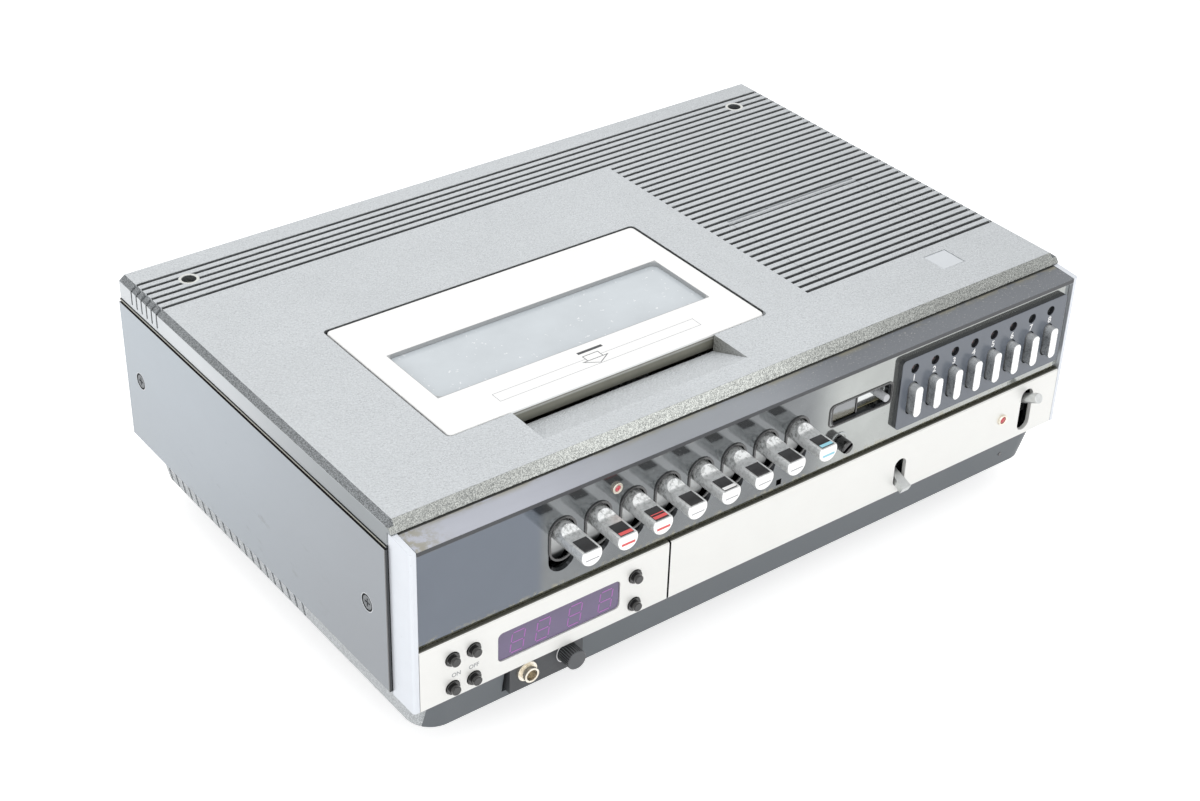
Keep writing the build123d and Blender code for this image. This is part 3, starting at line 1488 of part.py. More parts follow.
write_node("base_tub", make_base_tub())
write_node("feet", make_feet())
write_node("left_side_panel", make_side_panel(-1))
write_node("right_side_panel", make_side_panel(1))
write_node("case_screws", make_case_screws())
write_node("top_cover", make_top_cover())
write_node("tuning_hatch", make_tuning_hatch())
write_node("cassette_lid", make_cassette_lid())
write_node("lid_window", make_lid_window())
write_node("cassette_carriage", make_carriage())
write_node("lift_arm_outer", make_lift_arm_outer())
write_node("lift_arm_inner", make_lift_arm_inner())
write_node("deck_chassis", make_deck_chassis())
write_node("supply_reel", make_reel(-1))
write_node("take_up_reel", make_reel(1))
write_node("tape_path", make_tape_path())
write_node("head_drum", make_head_drum())
write_node("capstan_flywheel", make_capstan_flywheel())
for key_name, key_x in zip(key_names, key_xs):
    write_node(key_name, make_key(key_x))
write_node("front_fascia", make_front_fascia())
write_node("channel_plate", make_channel_plate())
for number, button_x in enumerate(channel_xs, 1):
    write_node("channel_button_" + str(number), make_channel_button(button_x))
write_node("clock_panel", make_clock_panel())
write_node("selector_panel", make_selector_panel())
write_node("clock_window", make_clock_window())
for button_name, (button_x, button_z) in clock_button_places().items():
    write_node(button_name, make_clock_button(button_x, button_z))
write_node("record_selector_lever", make_record_lever())
write_node("mode_lever", make_mode_lever())
write_node("counter_reset_button", make_counter_reset_button())
write_node("memory_switch", make_memory_switch())
write_node("counter_drums", make_counter_drums())
write_node("end_trims", make_end_trims())
write_node("front_ledge", make_front_ledge())
write_node("indicator_lamps", make_indicator_lamps())
write_node("socket_plate", make_socket_plate())
write_node("mic_jack", make_mic_jack())
write_node("tracking_knob", make_tracking_knob())
write_node("rear_panel", make_rear_panel())
write_node("rear_sockets", make_rear_sockets())
write_node("power_unit", make_power_unit())
write_node("tuner_unit", make_tuner_unit())
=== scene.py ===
import bpy
import bmesh
from math import cos, radians, sin, tau
from mathutils import Matrix, Vector


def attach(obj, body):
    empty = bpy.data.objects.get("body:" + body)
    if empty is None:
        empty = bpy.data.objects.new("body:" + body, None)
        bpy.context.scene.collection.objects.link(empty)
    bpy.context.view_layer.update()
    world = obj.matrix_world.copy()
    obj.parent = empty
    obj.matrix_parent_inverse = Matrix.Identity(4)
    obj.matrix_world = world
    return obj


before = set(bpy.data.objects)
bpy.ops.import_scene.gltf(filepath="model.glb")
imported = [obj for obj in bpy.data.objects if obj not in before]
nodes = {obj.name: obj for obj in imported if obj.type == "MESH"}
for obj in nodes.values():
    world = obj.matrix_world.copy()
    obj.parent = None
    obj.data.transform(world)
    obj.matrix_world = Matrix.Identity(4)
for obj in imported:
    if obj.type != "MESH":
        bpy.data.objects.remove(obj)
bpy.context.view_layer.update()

MM = 0.001
FRONT = -135.2
FACING_FORWARD = Matrix.Rotation(radians(90), 3, "X")

# How bright the even light is for rays that light the machine and for rays that look at it,
# and how the floor is painted and glows.
SKY_LIGHTING, SKY_SEEN = 0.70, 1.0
FLOOR_TONE, FLOOR_GLOW = 0.8, 0.62


def at(depth):
    """Y, in millimetres, of a place this far behind the front panel's face."""
    return FRONT + depth


# Places on the machine, in millimetres. A pair is X and the height.

KEY_XS = [-136.0 + 21.8 * i for i in range(8)]
KEY_TOP = 114.15 + 2.8
KEY_TIP_LINE = 112.2
CHANNEL_XS = [98.0 + 15.27 * i for i in range(8)]
CHANNEL_NUMBERS = 116.7
RECORD_LAMP = (-103.3, 126.4)
MODE_LAMP = (177.6, 60.15)
TRACKING_KNOB = (-131.0, 34.9)
MEMORY_SWITCH = (48.5, 94)
PLATE_JOINT = -68.5
FASCIA_DEPTH = 2.5
COVER_GROOVES_START = 64.6
COVER_FRONT_BEVEL = 20.3
COVER_WALL = 225.0
COVER_SCREW_X = 195
COVER_SCREW_DEPTH = 268.5
SIDE_SCREW_DEPTHS = (37.5, 275.0)
SIDE_SCREW_HEIGHT = 88.2
HATCH_MIDDLE = 141
HATCH_HINGE_DEPTH = 151.4
LID_MIDDLE = -60
LID_ARROW_X = -60.4
CLOCK_DIGIT_XS = (-163.4, -148.0, -128.3, -109.0)


# Camera, lamps and floor

def look_at_the_machine():
    """The camera, where the photograph was taken from."""
    azimuth, elevation, roll = radians(-38.173), radians(33.472), radians(1.957)
    back = Vector((sin(azimuth) * cos(elevation), -cos(azimuth) * cos(elevation), sin(elevation)))
    reflection_band = Vector((cos(azimuth), sin(azimuth), 0))
    upright = back.cross(reflection_band)
    right = reflection_band * cos(roll) + upright * sin(roll)
    up = upright * cos(roll) - reflection_band * sin(roll)
    lens = bpy.data.cameras.new("camera")
    lens.lens = 62.512
    lens.sensor_width = 36
    camera = bpy.data.objects.new("camera", lens)
    turn = Matrix((right, up, back)).transposed().to_4x4()
    camera.matrix_world = Matrix.Translation((-0.62387, -0.77927, 0.72604)) @ turn
    bpy.context.scene.collection.objects.link(camera)
    bpy.context.scene.camera = camera


def softbox(name, place, aim, size, power):
    """A soft rectangular lamp at a place, turned to its aim; metres and watts."""
    lamp = bpy.data.lights.new(name, "AREA")
    lamp.shape = "RECTANGLE"
    lamp.size, lamp.size_y = size
    lamp.energy = power
    holder = bpy.data.objects.new(name, lamp)
    way = Vector(aim) - Vector(place)
    turn = way.to_track_quat("-Z", "Y").to_matrix().to_4x4()
    holder.matrix_world = Matrix.Translation(place) @ turn
    bpy.context.scene.collection.objects.link(holder)


# Materials

class Value:
    """A number or a colour in a material, so that its maths reads as Python."""

    def __init__(self, finish, socket):
        self.finish = finish
        self.socket = socket

    def maths(self, operation, first, second=None):
        values = {0: first} if second is None else {0: first, 1: second}
        return self.finish.node("ShaderNodeMath", {"operation": operation}, values)

    def __add__(self, other):
        return self.maths("ADD", self, other)

    __radd__ = __add__

    def __sub__(self, other):
        return self.maths("SUBTRACT", self, other)

    def __rsub__(self, other):
        return self.maths("SUBTRACT", other, self)

    def __mul__(self, other):
        return self.maths("MULTIPLY", self, other)

    __rmul__ = __mul__

    def __mod__(self, other):
        return self.maths("FLOORED_MODULO", self, other)

    def __lt__(self, other):
        return self.maths("LESS_THAN", self, other)

    def __gt__(self, other):
        return self.maths("GREATER_THAN", self, other)

    def __abs__(self):
        return self.maths("ABSOLUTE", self)

    def __and__(self, other):
        return self.maths("MINIMUM", self, other)

    def __or__(self, other):
        return self.maths("MAXIMUM", self, other)


class Finish:
    """One finish of the machine, built from nodes."""

    def __init__(self, name):
        self.material = bpy.data.materials.new(name)
        self.material.use_nodes = True
        self.tree = self.material.node_tree
        self.shader = self.tree.nodes["Principled BSDF"]

    def set(self, socket, value):
        if isinstance(value, Value):
            self.tree.links.new(value.socket, socket)
        elif socket.type == "RGBA":
            socket.default_value = (*value, 1) if len(value) == 3 else value
        else:
            socket.default_value = value

    def node(self, kind, settings=None, sockets=None, out=0):
        made = self.tree.nodes.new(kind)
        for name, value in (settings or {}).items():
            setattr(made, name, value)
        for name, value in (sockets or {}).items():
            self.set(made.inputs[name], value)
        return Value(self, made.outputs[out])

    def place(self):
        """X, Y and Z in millimetres."""
        whole = self.node("ShaderNodeTexCoord", out="Object")
        whole = self.node("ShaderNodeVectorMath", {"operation": "SCALE"},
                          {"Vector": whole, "Scale": 1000}, "Vector")
        parts = self.node("ShaderNodeSeparateXYZ", None, {0: whole})
        axes = parts.socket.node.outputs
        return [Value(self, axes[i]) for i in range(3)]

    def spread(self, stretch=(1, 1, 1)):
        """Where a pattern is read, in millimetres, drawn out along an axis by its stretch."""
        scale = [1000 / s for s in stretch]
        whole = self.node("ShaderNodeTexCoord", out="Object")
        return self.node("ShaderNodeMapping", None, {"Vector": whole, "Scale": scale})

    def noise(self, size, detail=2, rough=0.5, stretch=(1, 1, 1)):
        return self.node("ShaderNodeTexNoise", None,
                         {"Vector": self.spread(stretch), "Scale": 1 / size, "Detail": detail,
                          "Roughness": rough})

    def cells(self, size, stretch=(1, 1, 1)):
        return self.node("ShaderNodeTexVoronoi", None,
                         {"Vector": self.spread(stretch), "Scale": 1 / size})

    def looked_at(self):
        """1 for rays from the camera, a mirror or a clear pane, and 0 for those that light."""
        rays = [self.node("ShaderNodeLightPath", out="Is %s Ray" % kind)
                for kind in ("Camera", "Glossy", "Transmission")]
        return rays[0] | rays[1] | rays[2]

    def ease(self, value, low, high):
        """0 below low, 1 above high, and smooth between them."""
        return self.node("ShaderNodeMapRange", {"interpolation_type": "SMOOTHSTEP"},
                         {0: value, 1: low, 2: high, 3: 0, 4: 1})

    def between(self, value, low, high):
        return (value > low) & (value < high)

    def squared(self, first, second):
        """The squared distance from a middle, from how far it is along two axes."""
        return first * first + second * second

    def mix(self, share, first, second):
        return self.node("ShaderNodeMix", {"data_type": "RGBA"}, {0: share, 6: first, 7: second}, 2)

    def tint(self, colour, share):
        """The colour made lighter or darker by a share that varies."""
        grey = self.node("ShaderNodeCombineColor", None, {0: share, 1: share, 2: share})
        return self.node("ShaderNodeMix", {"data_type": "RGBA", "blend_type": "MULTIPLY"},
                         {0: 1, 6: colour, 7: grey}, 2)

    def rounded(self, radius=0.35):
        return self.node("ShaderNodeBevel", {"samples": 4}, {"Radius": radius * MM})

    def bump(self, height, depth, edge=None):
        sockets = {"Height": height, "Distance": depth * MM, "Strength": 1}
        if edge is not None:
            sockets["Normal"] = edge
        return self.node("ShaderNodeBump", None, sockets)

    def give(self, **values):
        """Sets the shader's sockets: base_color goes to Base Color."""
        for name, value in values.items():
            socket = name.replace("_", " ").title().replace("Ior", "IOR")
            self.set(self.shader.inputs[socket], value)
        return self.material


class Sky(Finish):
    """The studio's even light, built from the same nodes."""

    def __init__(self, name):
        world = bpy.data.worlds.new(name)
        world.use_nodes = True
        bpy.context.scene.world = world
        self.tree = world.node_tree
        self.shader = self.tree.nodes["Background"]


def paint(red, green, blue):
    """A colour as it shows on a screen, 0 to 255, made linear."""
    return tuple(((c / 255 + 0.055) / 1.055) ** 2.4 if c > 10 else c / 255 / 12.92
                 for c in (red, green, blue))


def pebbled_cover():
    """Pale pebbled plastic, dark along its bevel, pale round its screws, with painted shade in its
    grooves, on its chamfers and side walls, on the finger recess's end wall and towards the right.
    """
    f = Finish("pebbled_cover")
    x, y, z = f.place()
    pebbles = 1 - f.cells(1.45)
    leather = f.noise(1.0, 2, 0.55)
    speckle = f.ease(f.noise(0.6, 2, 0.55), 0.38, 0.62)
    patches = f.noise(38, 3, 0.6)
    side = abs(x)
    bevel = (y < at(COVER_FRONT_BEVEL)) & (z > 141)
    chamfer_shade = (side > 221.7) & (z > 144.2) & (side < 225.2)
    wall = (side > COVER_WALL) & (z < 144.1)
    # Painted shade: the grooves are painted dark where shade falls in them, except on the hatch's
    # rounded hinge edge.
    groove_shade = (side < 221.0) & (z < 146.7) & (y > at(COVER_GROOVES_START)) & (z > 143.0)
    end_groove_shade = (side < COVER_WALL) & (z < 144.0) & (y > at(245)) & (side > 222.4)
    groove_shade = groove_shade | end_groove_shade
    hinge = (abs(y - at(HATCH_HINGE_DEPTH)) < 1.7) & (abs(x - HATCH_MIDDLE) < 50) & (z > 145)
    groove_shade = groove_shade & (1 - hinge)
    recess_end = f.between(x, 5.3, 5.6) & (z < 146.9) & (y < at(60.6))
    screw = f.squared(side - COVER_SCREW_X, y - at(COVER_SCREW_DEPTH))
    land = (screw < 31) & (z > 146.9)
    # The top is painted darker towards the right as painted shade, over its patchy tone and
    # leathery grain.
    shade = 0.71 + patches * 0.10 + leather * 0.52 - f.ease(x, 30, 215) * 0.09
    colour = f.tint(paint(211, 215, 218), shade)
    # Along the bevel the colour is made lighter in the middle and darker to the right; the
    # darkening is painted shade.
    bright_middle = f.ease(x, -180, -100) * (1 - f.ease(x, -10, 60))
    along = 1 + bright_middle * 0.45 - f.ease(x, 50, 140) * 0.25
    front = f.mix(speckle, paint(162, 165, 162), paint(220, 223, 218))
    colour = f.mix(bevel, colour, f.tint(front, along))
    # Painted shade: the chamfers are painted a darker speckled grey than the top.
    colour = f.mix(chamfer_shade, colour, f.mix(speckle, paint(96, 100, 102), paint(154, 158, 161)))
    # Painted shade: the side walls are painted darker towards the front.
    flank = f.mix(f.ease(y, at(30), at(230)), paint(157, 162, 165), paint(226, 230, 233))
    colour = f.mix(wall, colour, f.tint(flank, 0.96 + patches * 0.08))
    colour = f.mix(groove_shade, colour, paint(86, 89, 90))
    colour = f.mix(land, colour, paint(232, 233, 229))
    # Painted shade: the finger recess's end wall is painted grey, darker towards the back.
    end_wall_shade = f.mix(f.ease(y, at(34), at(58)), paint(162, 164, 164), paint(132, 133, 129))
    colour = f.mix(recess_end, colour, end_wall_shade)
    height = (pebbles + leather) * (1 - wall) * (1 + bevel)
    return f.give(base_color=colour, roughness=0.5 + leather * 0.12,
                  normal=f.bump(height, 0.62, f.rounded()))


def bright_lid():
    """Bright brushed metal with a thin printed box, an arrow on it and a short bar, with painted
    shade on the walls of its window's opening and on its turned-down front edge.
    """
    f = Finish("bright_lid")
    x, y, z = f.place()
    brushed = f.noise(0.5, 2, 0.5, (60, 1, 1))
    wear = f.noise(25, 4, 0.6)
    opening_shade = (abs(x - LID_MIDDLE) < 88.6) & f.between(y, at(92.2), at(140.8))
    colour = f.tint(paint(253, 253, 252), 0.98 + wear * 0.04)
    on_top = z > 146.5
    box = (abs(x + 59.0) - 65.2) | (abs(y - at(76.0)) - 3.7)
    from_arrow = abs(x - LID_ARROW_X)
    body = (from_arrow - 4.9) | (abs(y - at(80.0)) - 2.4)
    drop = y - at(72.9)
    head = ((from_arrow - drop * 1.65) * 0.52) | (drop - 4.7)
    arrow = body & head
    colour = f.mix((abs(box) < 0.16) & on_top & (arrow > 0), colour, paint(168, 170, 173))
    colour = f.mix((abs(arrow) < 0.25) & on_top, colour, paint(104, 106, 109))
    small_bar = (abs(y - at(86.0)) < 1.0) & (abs(x + 58) < 8) & on_top
    colour = f.mix(small_bar, colour, paint(70, 72, 74))
    # Painted shade on the walls of the window's opening.
    colour = f.mix(opening_shade, colour, paint(172, 174, 175))
    # Painted shade on the turned-down front edge.
    front_edge_shade = (z < 145.4) & (y < at(62.5))
    colour = f.mix(front_edge_shade, colour, paint(150, 149, 142))
    return f.give(base_color=colour, metallic=0.25, roughness=0.3 + brushed * 0.08,
                  normal=f.rounded(0.4))


def lid_pane():
    """A hazy pane with pale specks."""
    f = Finish("lid_pane")
    clouds = f.noise(30, 3, 0.6)
    specks = f.ease(f.noise(2.6, 2, 0.5), 0.69, 0.72)
    colour = f.tint(paint(214, 221, 226), 0.88 + clouds * 0.22)
    colour = f.mix(specks, colour, paint(242, 245, 248))
    return f.give(base_color=colour, roughness=0.10 + clouds * 0.1, alpha=0.94, coat_weight=0.6,
                  coat_roughness=0.03)


def glossy_side():
    """Slate gloss with scuffs and nicks and a pale ring at each screw, painted darker towards the
    front and bottom as painted shade, with painted shade along its top and front edges and a
    painted glint line near the top.
    """
    f = Finish("glossy_side")
    x, y, z = f.place()
    smears = f.noise(45, 4, 0.6, (1, 1.6, 1))
    scuffed = f.ease(y, at(60), at(110)) * (1 - f.ease(y, at(200), at(250)))
    scuffed = scuffed * (1 - f.ease(z, 78, 100))
    scuffs = f.ease(f.noise(11, 5, 0.7, (1, 2.0, 1)), 0.56, 0.74) * scuffed
    nicks = f.ease(f.noise(3.0, 3, 0.6, (1, 0.6, 2.2)), 0.73, 0.77)
    # Painted shade: the panel is painted darker towards the front and towards the bottom, under its
    # smears.
    back = f.ease(y, at(-10), at(270))
    tone = f.mix(back, paint(129, 136, 144), paint(155, 167, 178))
    tone = f.tint(tone, 0.82 + f.ease(z, 44, 128) * 0.16 + smears * 0.10)
    tone = f.mix(scuffs * 0.4 | nicks * 0.5, tone, paint(96, 100, 104))
    near, far = [f.squared(y - at(depth), z - SIDE_SCREW_HEIGHT) for depth in SIDE_SCREW_DEPTHS]
    screw = near & far
    tone = f.mix(f.between(screw, 23.0, 28.0), tone, paint(196, 201, 206))
    tone = f.mix(screw < 23.2, tone, paint(74, 77, 80))
    # Painted shade in the gap under the cover and behind the front trim, and a thin painted glint
    # line between.
    gap_shade = z > 131.4
    glint_line = f.between(z, 132.5, 133.2)
    shade_behind_trim = y < at(20.0)
    tone = f.mix(gap_shade, tone, paint(44, 45, 45))
    tone = f.mix(glint_line, tone, paint(128, 126, 104))
    tone = f.mix(shade_behind_trim, tone, paint(34, 36, 38))
    return f.give(base_color=tone, roughness=0.12 + smears * 0.12, coat_weight=0.5,
                  coat_roughness=0.05, normal=f.rounded(0.3))


def white_trim(name="white_trim", tone=(221, 225, 231)):
    """Silvery white, a little worn."""
    f = Finish(name)
    wear = f.noise(12, 4, 0.6)
    fine = f.noise(0.6, 2, 0.5)
    nicks = f.ease(f.noise(2.4, 2, 0.5), 0.73, 0.78)
    colour = f.tint(paint(*tone), 0.95 + wear * 0.07)
    colour = f.mix(nicks * 0.35, colour, paint(170, 172, 174))
    return f.give(base_color=colour, metallic=0.55, roughness=0.33 + fine * 0.08,
                  normal=f.bump(fine, 0.02, f.rounded(0.4)))


def satin_plate():
    """Pale metal brushed along its length, with a dark joint line and a dull top edge, partly grime
    and partly painted shade.
    """
    f = Finish("satin_plate")
    x, y, z = f.place()
    brushed = f.noise(0.35, 3, 0.6, (80, 1, 1))
    wear = f.noise(20, 4, 0.6)
    joint = abs(x - PLATE_JOINT) < 0.62
    colour = f.tint(paint(241, 241, 238), 0.95 + wear * 0.05 + brushed * 0.03)
    colour = f.mix(joint, colour, paint(20, 20, 20))
    # The top edge is painted dark olive: grime, and painted shade from the gap above it.
    top_edge_grime_and_shade = z > 78.9
    colour = f.mix(top_edge_grime_and_shade, colour, paint(96, 96, 88))
    return f.give(base_color=colour, metallic=0.28, roughness=0.32 + brushed * 0.10,
                  normal=f.bump(brushed, 0.006, f.rounded(0.15)))


def glossy_fascia():
    """A dark mirror, worn and dusty to the right, with grime along its long edges, painted shade in
    its holes and along its lower edge, and a painted highlight round the memory switch.
    """
    f = Finish("glossy_fascia")
    x, y, z = f.place()
    smears = f.noise(30, 4, 0.65)
    dusty = f.ease(x, -150, -120) * f.ease(f.noise(24, 3, 0.6), 0.42, 0.60)
    dust = f.ease(f.noise(0.9, 2, 0.6), 0.66, 0.74) * dusty
    skin = at(FASCIA_DEPTH + 0.1)
    face = y < skin
    bevel = f.between(y, skin, at(4.0))
    hole_shade = y > at(3.99)
    edges = f.ease(z, 133.6, 137.4) | (1 - f.ease(z, 81.0, 84.2))
    grime = f.ease(f.noise(4, 4, 0.7), 0.46, 0.64) * edges
    worn = f.ease(x, -152, -145)
    tone = f.tint(paint(108, 114, 123), 0.94 + smears * 0.14)
    tone = f.mix(worn, tone, f.tint(paint(122, 125, 127), 0.72 + smears * 0.48))
    tone = f.mix(f.ease(x, 20, 52), tone, f.tint(paint(172, 175, 173), 0.80 + smears * 0.34))
    tone = f.mix(dust * 0.55, tone, paint(205, 207, 205))
    tone = f.mix(grime * 0.5, tone, paint(176, 170, 142))
    # The strip above the plates is painted dark olive: grime, and painted shade over the gap.
    lower_edge_grime_and_shade = (z < 80.0) & face
    tone = f.mix(lower_edge_grime_and_shade, tone, paint(96, 96, 84))
    tone = f.mix(bevel, tone, paint(36, 38, 40))
    # Painted shade inside the holes.
    tone = f.mix(hole_shade, tone, paint(44, 46, 47))
    sill = f.between(z, 78, 81.6) & (y > skin)
    tone = f.mix(sill, tone, paint(122, 122, 110))
    reset_plate = f.between(y, at(6.8), at(7.2)) & f.between(x, 59.8, 83.6)
    clean = f.ease(z + f.noise(3, 3, 0.6) * 4, 109.4, 112.4)
    stained = f.mix(clean, paint(176, 172, 146), paint(214, 217, 217))
    tone = f.mix(reset_plate, tone, stained)
    # A painted highlight round the memory switch's hole.
    switch = f.squared(x - MEMORY_SWITCH[0], z - MEMORY_SWITCH[1])
    switch_edge_highlight = f.between(switch, 30.5, 36.5) & (y < at(2.4))
    tone = f.mix(switch_edge_highlight, tone, paint(178, 182, 184))
    return f.give(base_color=tone, metallic=0.85 - (dust | grime) * 0.5,
                  roughness=0.05 + smears * 0.09, normal=f.rounded(0.3))


def dark_plate():
    """Dark gloss, a little smeared, with painted shade on its sides behind its face."""
    f = Finish("dark_plate")
    x, y, z = f.place()
    smears = f.noise(22, 4, 0.6)
    fine = f.noise(0.4, 2, 0.5)
    shaded_sides = y > at(-0.3)
    colour = f.tint(paint(92, 99, 110), 0.90 + smears * 0.20)
    colour = f.mix(shaded_sides, colour, paint(44, 47, 52))
    return f.give(base_color=colour, roughness=0.16 + smears * 0.14, ior=1.7,
                  normal=f.bump(fine, 0.008, f.rounded(0.5)))


def plinth_plastic():
    """Dusty dark plastic, with pale speckles on the left flank."""
    f = Finish("plinth_plastic")
    x, y, z = f.place()
    grain = f.noise(0.6, 2, 0.5)
    speckle = f.ease(f.noise(0.9, 2, 0.6), 0.42, 0.58)
    dust = f.noise(35, 4, 0.6)
    flank = f.ease(0 - x, 206, 213) * f.ease(y, at(4), at(14)) * (x < -212.5)
    colour = f.tint(paint(92, 98, 103), 0.88 + dust * 0.20 + grain * 0.05)
    side = f.mix(speckle, paint(166, 170, 173), paint(206, 210, 212))
    colour = f.mix(flank, colour, side)
    return f.give(base_color=colour, roughness=0.34 + dust * 0.18,
                  normal=f.bump(grain, 0.03, f.rounded(0.6)))


def ledge_plastic():
    """A dull shine, painted darker to the right as painted shade, with grime at the back and at the
    left end, and a painted shadow along the back edge under the cover.
    """
    f = Finish("ledge_plastic")
    x, y, z = f.place()
    smears = f.noise(26, 4, 0.6, (3, 1, 1))
    dust = f.ease(f.noise(1.1, 3, 0.6), 0.60, 0.72) * f.ease(x, -60, 60)
    grime = f.ease(y, at(11), at(16.5)) * f.ease(f.noise(7, 4, 0.7, (3, 1, 1)), 0.40, 0.60)
    end = (1 - f.ease(x, -219, -196)) * f.ease(f.noise(5, 4, 0.7), 0.40, 0.60)
    shadow_under_cover = y > at(15.4)
    lip = z < 139.35
    # Painted shade: the ledge is painted darker towards the right.
    tone = f.mix(f.ease(x, -170, -60), paint(182, 185, 195), paint(147, 151, 157))
    tone = f.mix(f.ease(x, -20, 60), tone, paint(109, 113, 119))
    colour = f.tint(tone, 0.86 + smears * 0.26)
    colour = f.mix(dust * 0.5, colour, paint(206, 204, 196))
    colour = f.mix((grime * 0.7) | (end * 0.7), colour, paint(146, 140, 112))
    # Painted shadow where the cover's bevel overhangs the ledge.
    colour = f.mix(shadow_under_cover, colour, paint(84, 85, 82))
    colour = f.mix(lip, colour, paint(62, 64, 68))
    return f.give(base_color=colour, roughness=0.22 + smears * 0.2, normal=f.rounded(0.3))


def key_chrome():
    """Mottled chrome, duller on its neck, white at its tip, and on the shield behind painted pale
    grey as a painted reflection and dark at its lower end as painted shade.
    """
    f = Finish("key_chrome")
    x, y, z = f.place()
    mottle = f.noise(2.2, 4, 0.65)
    shield = y > at(4.4)
    neck = f.ease(y, at(-9), at(1)) * (1 - shield)
    tip = y < at(-21.7)
    patina = f.ease(mottle, 0.44, 0.62) * (0.26 + neck * 0.44)
    colour = f.mix(patina, paint(240, 242, 242), paint(118, 121, 119))
    colour = f.mix(tip, colour, paint(252, 252, 251))
    # The shield is painted pale grey as a painted reflection of the bright room, and dark at its
    # lower end as painted shade.
    shaded = shield * (1 - f.ease(z, 94.0, 98.5))
    colour = f.mix(shield, colour, paint(214, 216, 216))
    colour = f.mix(shaded, colour, paint(64, 66, 68))
    return f.give(base_color=colour, metallic=0.55 - shield * 0.35, roughness=0.26 + mottle * 0.12,
                  normal=f.rounded(0.35))


def button_silver():
    """Mottled silver, made brighter above by a painted reflection, and white on its face."""
    f = Finish("button_silver")
    x, y, z = f.place()
    mottle = f.ease(f.noise(1.5, 4, 0.7), 0.38, 0.66)
    face = y < at(-5.85)
    top_reflection = f.ease(z, 108, 114)
    colour = f.mix(mottle, paint(190, 193, 194), paint(122, 125, 126))
    # A painted reflection of the light above brightens the buttons' upper part.
    colour = f.mix(top_reflection * 0.6, colour, paint(238, 240, 240))
    colour = f.mix(face, colour, paint(252, 252, 252))
    return f.give(base_color=colour, metallic=0.5, roughness=0.26 + mottle * 0.14,
                  normal=f.rounded(0.3))


def lever_silver():
    """Silver with a soft mottle."""
    f = Finish("lever_silver")
    mottle = f.noise(2.4, 3, 0.6)
    colour = f.mix(mottle, paint(196, 199, 199), paint(226, 228, 227))
    return f.give(base_color=colour, metallic=0.75, roughness=0.24 + mottle * 0.14,
                  normal=f.rounded(0.3))


def black_gloss(name="black_gloss", tone=13):
    """Dark gloss with faint smears."""
    f = Finish(name)
    smears = f.noise(2.5, 3, 0.6)
    colour = f.tint(paint(tone, tone, tone + 1), 0.8 + smears * 0.4)
    return f.give(base_color=colour, roughness=0.10 + smears * 0.10, coat_weight=0.6,
                  coat_roughness=0.04, normal=f.rounded(0.25))


def tracking_plastic():
    """Dark plastic with fine ribs round its side."""
    f = Finish("tracking_plastic")
    x, y, z = f.place()
    turn = f.node("ShaderNodeMath", {"operation": "ARCTAN2"},
                  {0: z - TRACKING_KNOB[1], 1: x - TRACKING_KNOB[0]})
    ribs = 26
    rib = abs((turn * (ribs / tau)) % 1 - 0.5) * 2
    side = y > at(-5.5)
    colour = f.mix(side * f.ease(rib, 0.35, 0.75), paint(84, 86, 89), paint(22, 23, 24))
    return f.give(base_color=colour, roughness=0.34, normal=f.bump(rib * side, 0.5, f.rounded(0.2)))


def lid_lip():
    """Pale at the top edge, then olive grey down to the dark gap, painted darker towards the bottom
    as painted shade.
    """
    f = Finish("lid_lip")
    x, y, z = f.place()
    grime = f.noise(6, 4, 0.65)
    # Painted shade: darker towards the bottom, where the lip hangs into the gap.
    colour = f.mix(f.ease(z, 137.6, 142.0), paint(104, 104, 95), paint(136, 135, 123))
    colour = f.mix(f.ease(z, 142.8, 144.3), colour, paint(196, 196, 190))
    return f.give(base_color=f.tint(colour, 0.8 + grime * 0.4), metallic=0.3,
                  roughness=0.3 + grime * 0.2, normal=f.rounded(0.3))


def screw_zinc():
    """Dull pale heads in the wells on top, darker ones on the sides."""
    f = Finish("screw_zinc")
    x, y, z = f.place()
    mottle = f.noise(1.5, 4, 0.65)
    colour = f.mix(z > 120, paint(118, 121, 124), paint(176, 176, 167))
    return f.give(base_color=f.tint(colour, 0.8 + mottle * 0.35), metallic=0.6,
                  roughness=0.36 + mottle * 0.14, normal=f.rounded(0.25))


def plain_dark(name, tone, roughness=0.45):
    """Plain plastic or paint of one tone, with a fine grain and some dust."""
    f = Finish(name)
    grain = f.noise(0.5, 2, 0.5)
    dust = f.noise(18, 3, 0.6)
    colour = f.tint(paint(tone, tone + 2, tone + 5), 0.88 + dust * 0.22)
    return f.give(base_color=colour, roughness=roughness + grain * 0.1,
                  normal=f.bump(grain, 0.02, f.rounded(0.3)))


def display_window():
    """Smoked violet, darker towards the top."""
    f = Finish("display_window")
    x, y, z = f.place()
    haze = f.noise(14, 3, 0.6)
    colour = f.tint(paint(102, 87, 125), 0.88 + haze * 0.2 - f.ease(z, 58, 69) * 0.12)
    return f.give(base_color=colour, roughness=0.05 + haze * 0.06, ior=1.7, normal=f.rounded(0.3))


def lamp_red():
    """Red, but dull in the channel lamps and dark in the power lamp."""
    f = Finish("lamp_red")
    x, y, z = f.place()
    ripple = f.noise(0.7, 2, 0.5)
    channel = (x > 92) & (z > 120)
    power = x > 184
    colour = f.tint(paint(200, 36, 56), 0.6 + ripple * 0.8)
    colour = f.mix(channel, colour, f.tint(paint(92, 60, 66), 0.5 + ripple))
    colour = f.mix(power, colour, paint(40, 40, 43))
    return f.give(base_color=colour, roughness=0.10, coat_weight=1, coat_roughness=0.03)


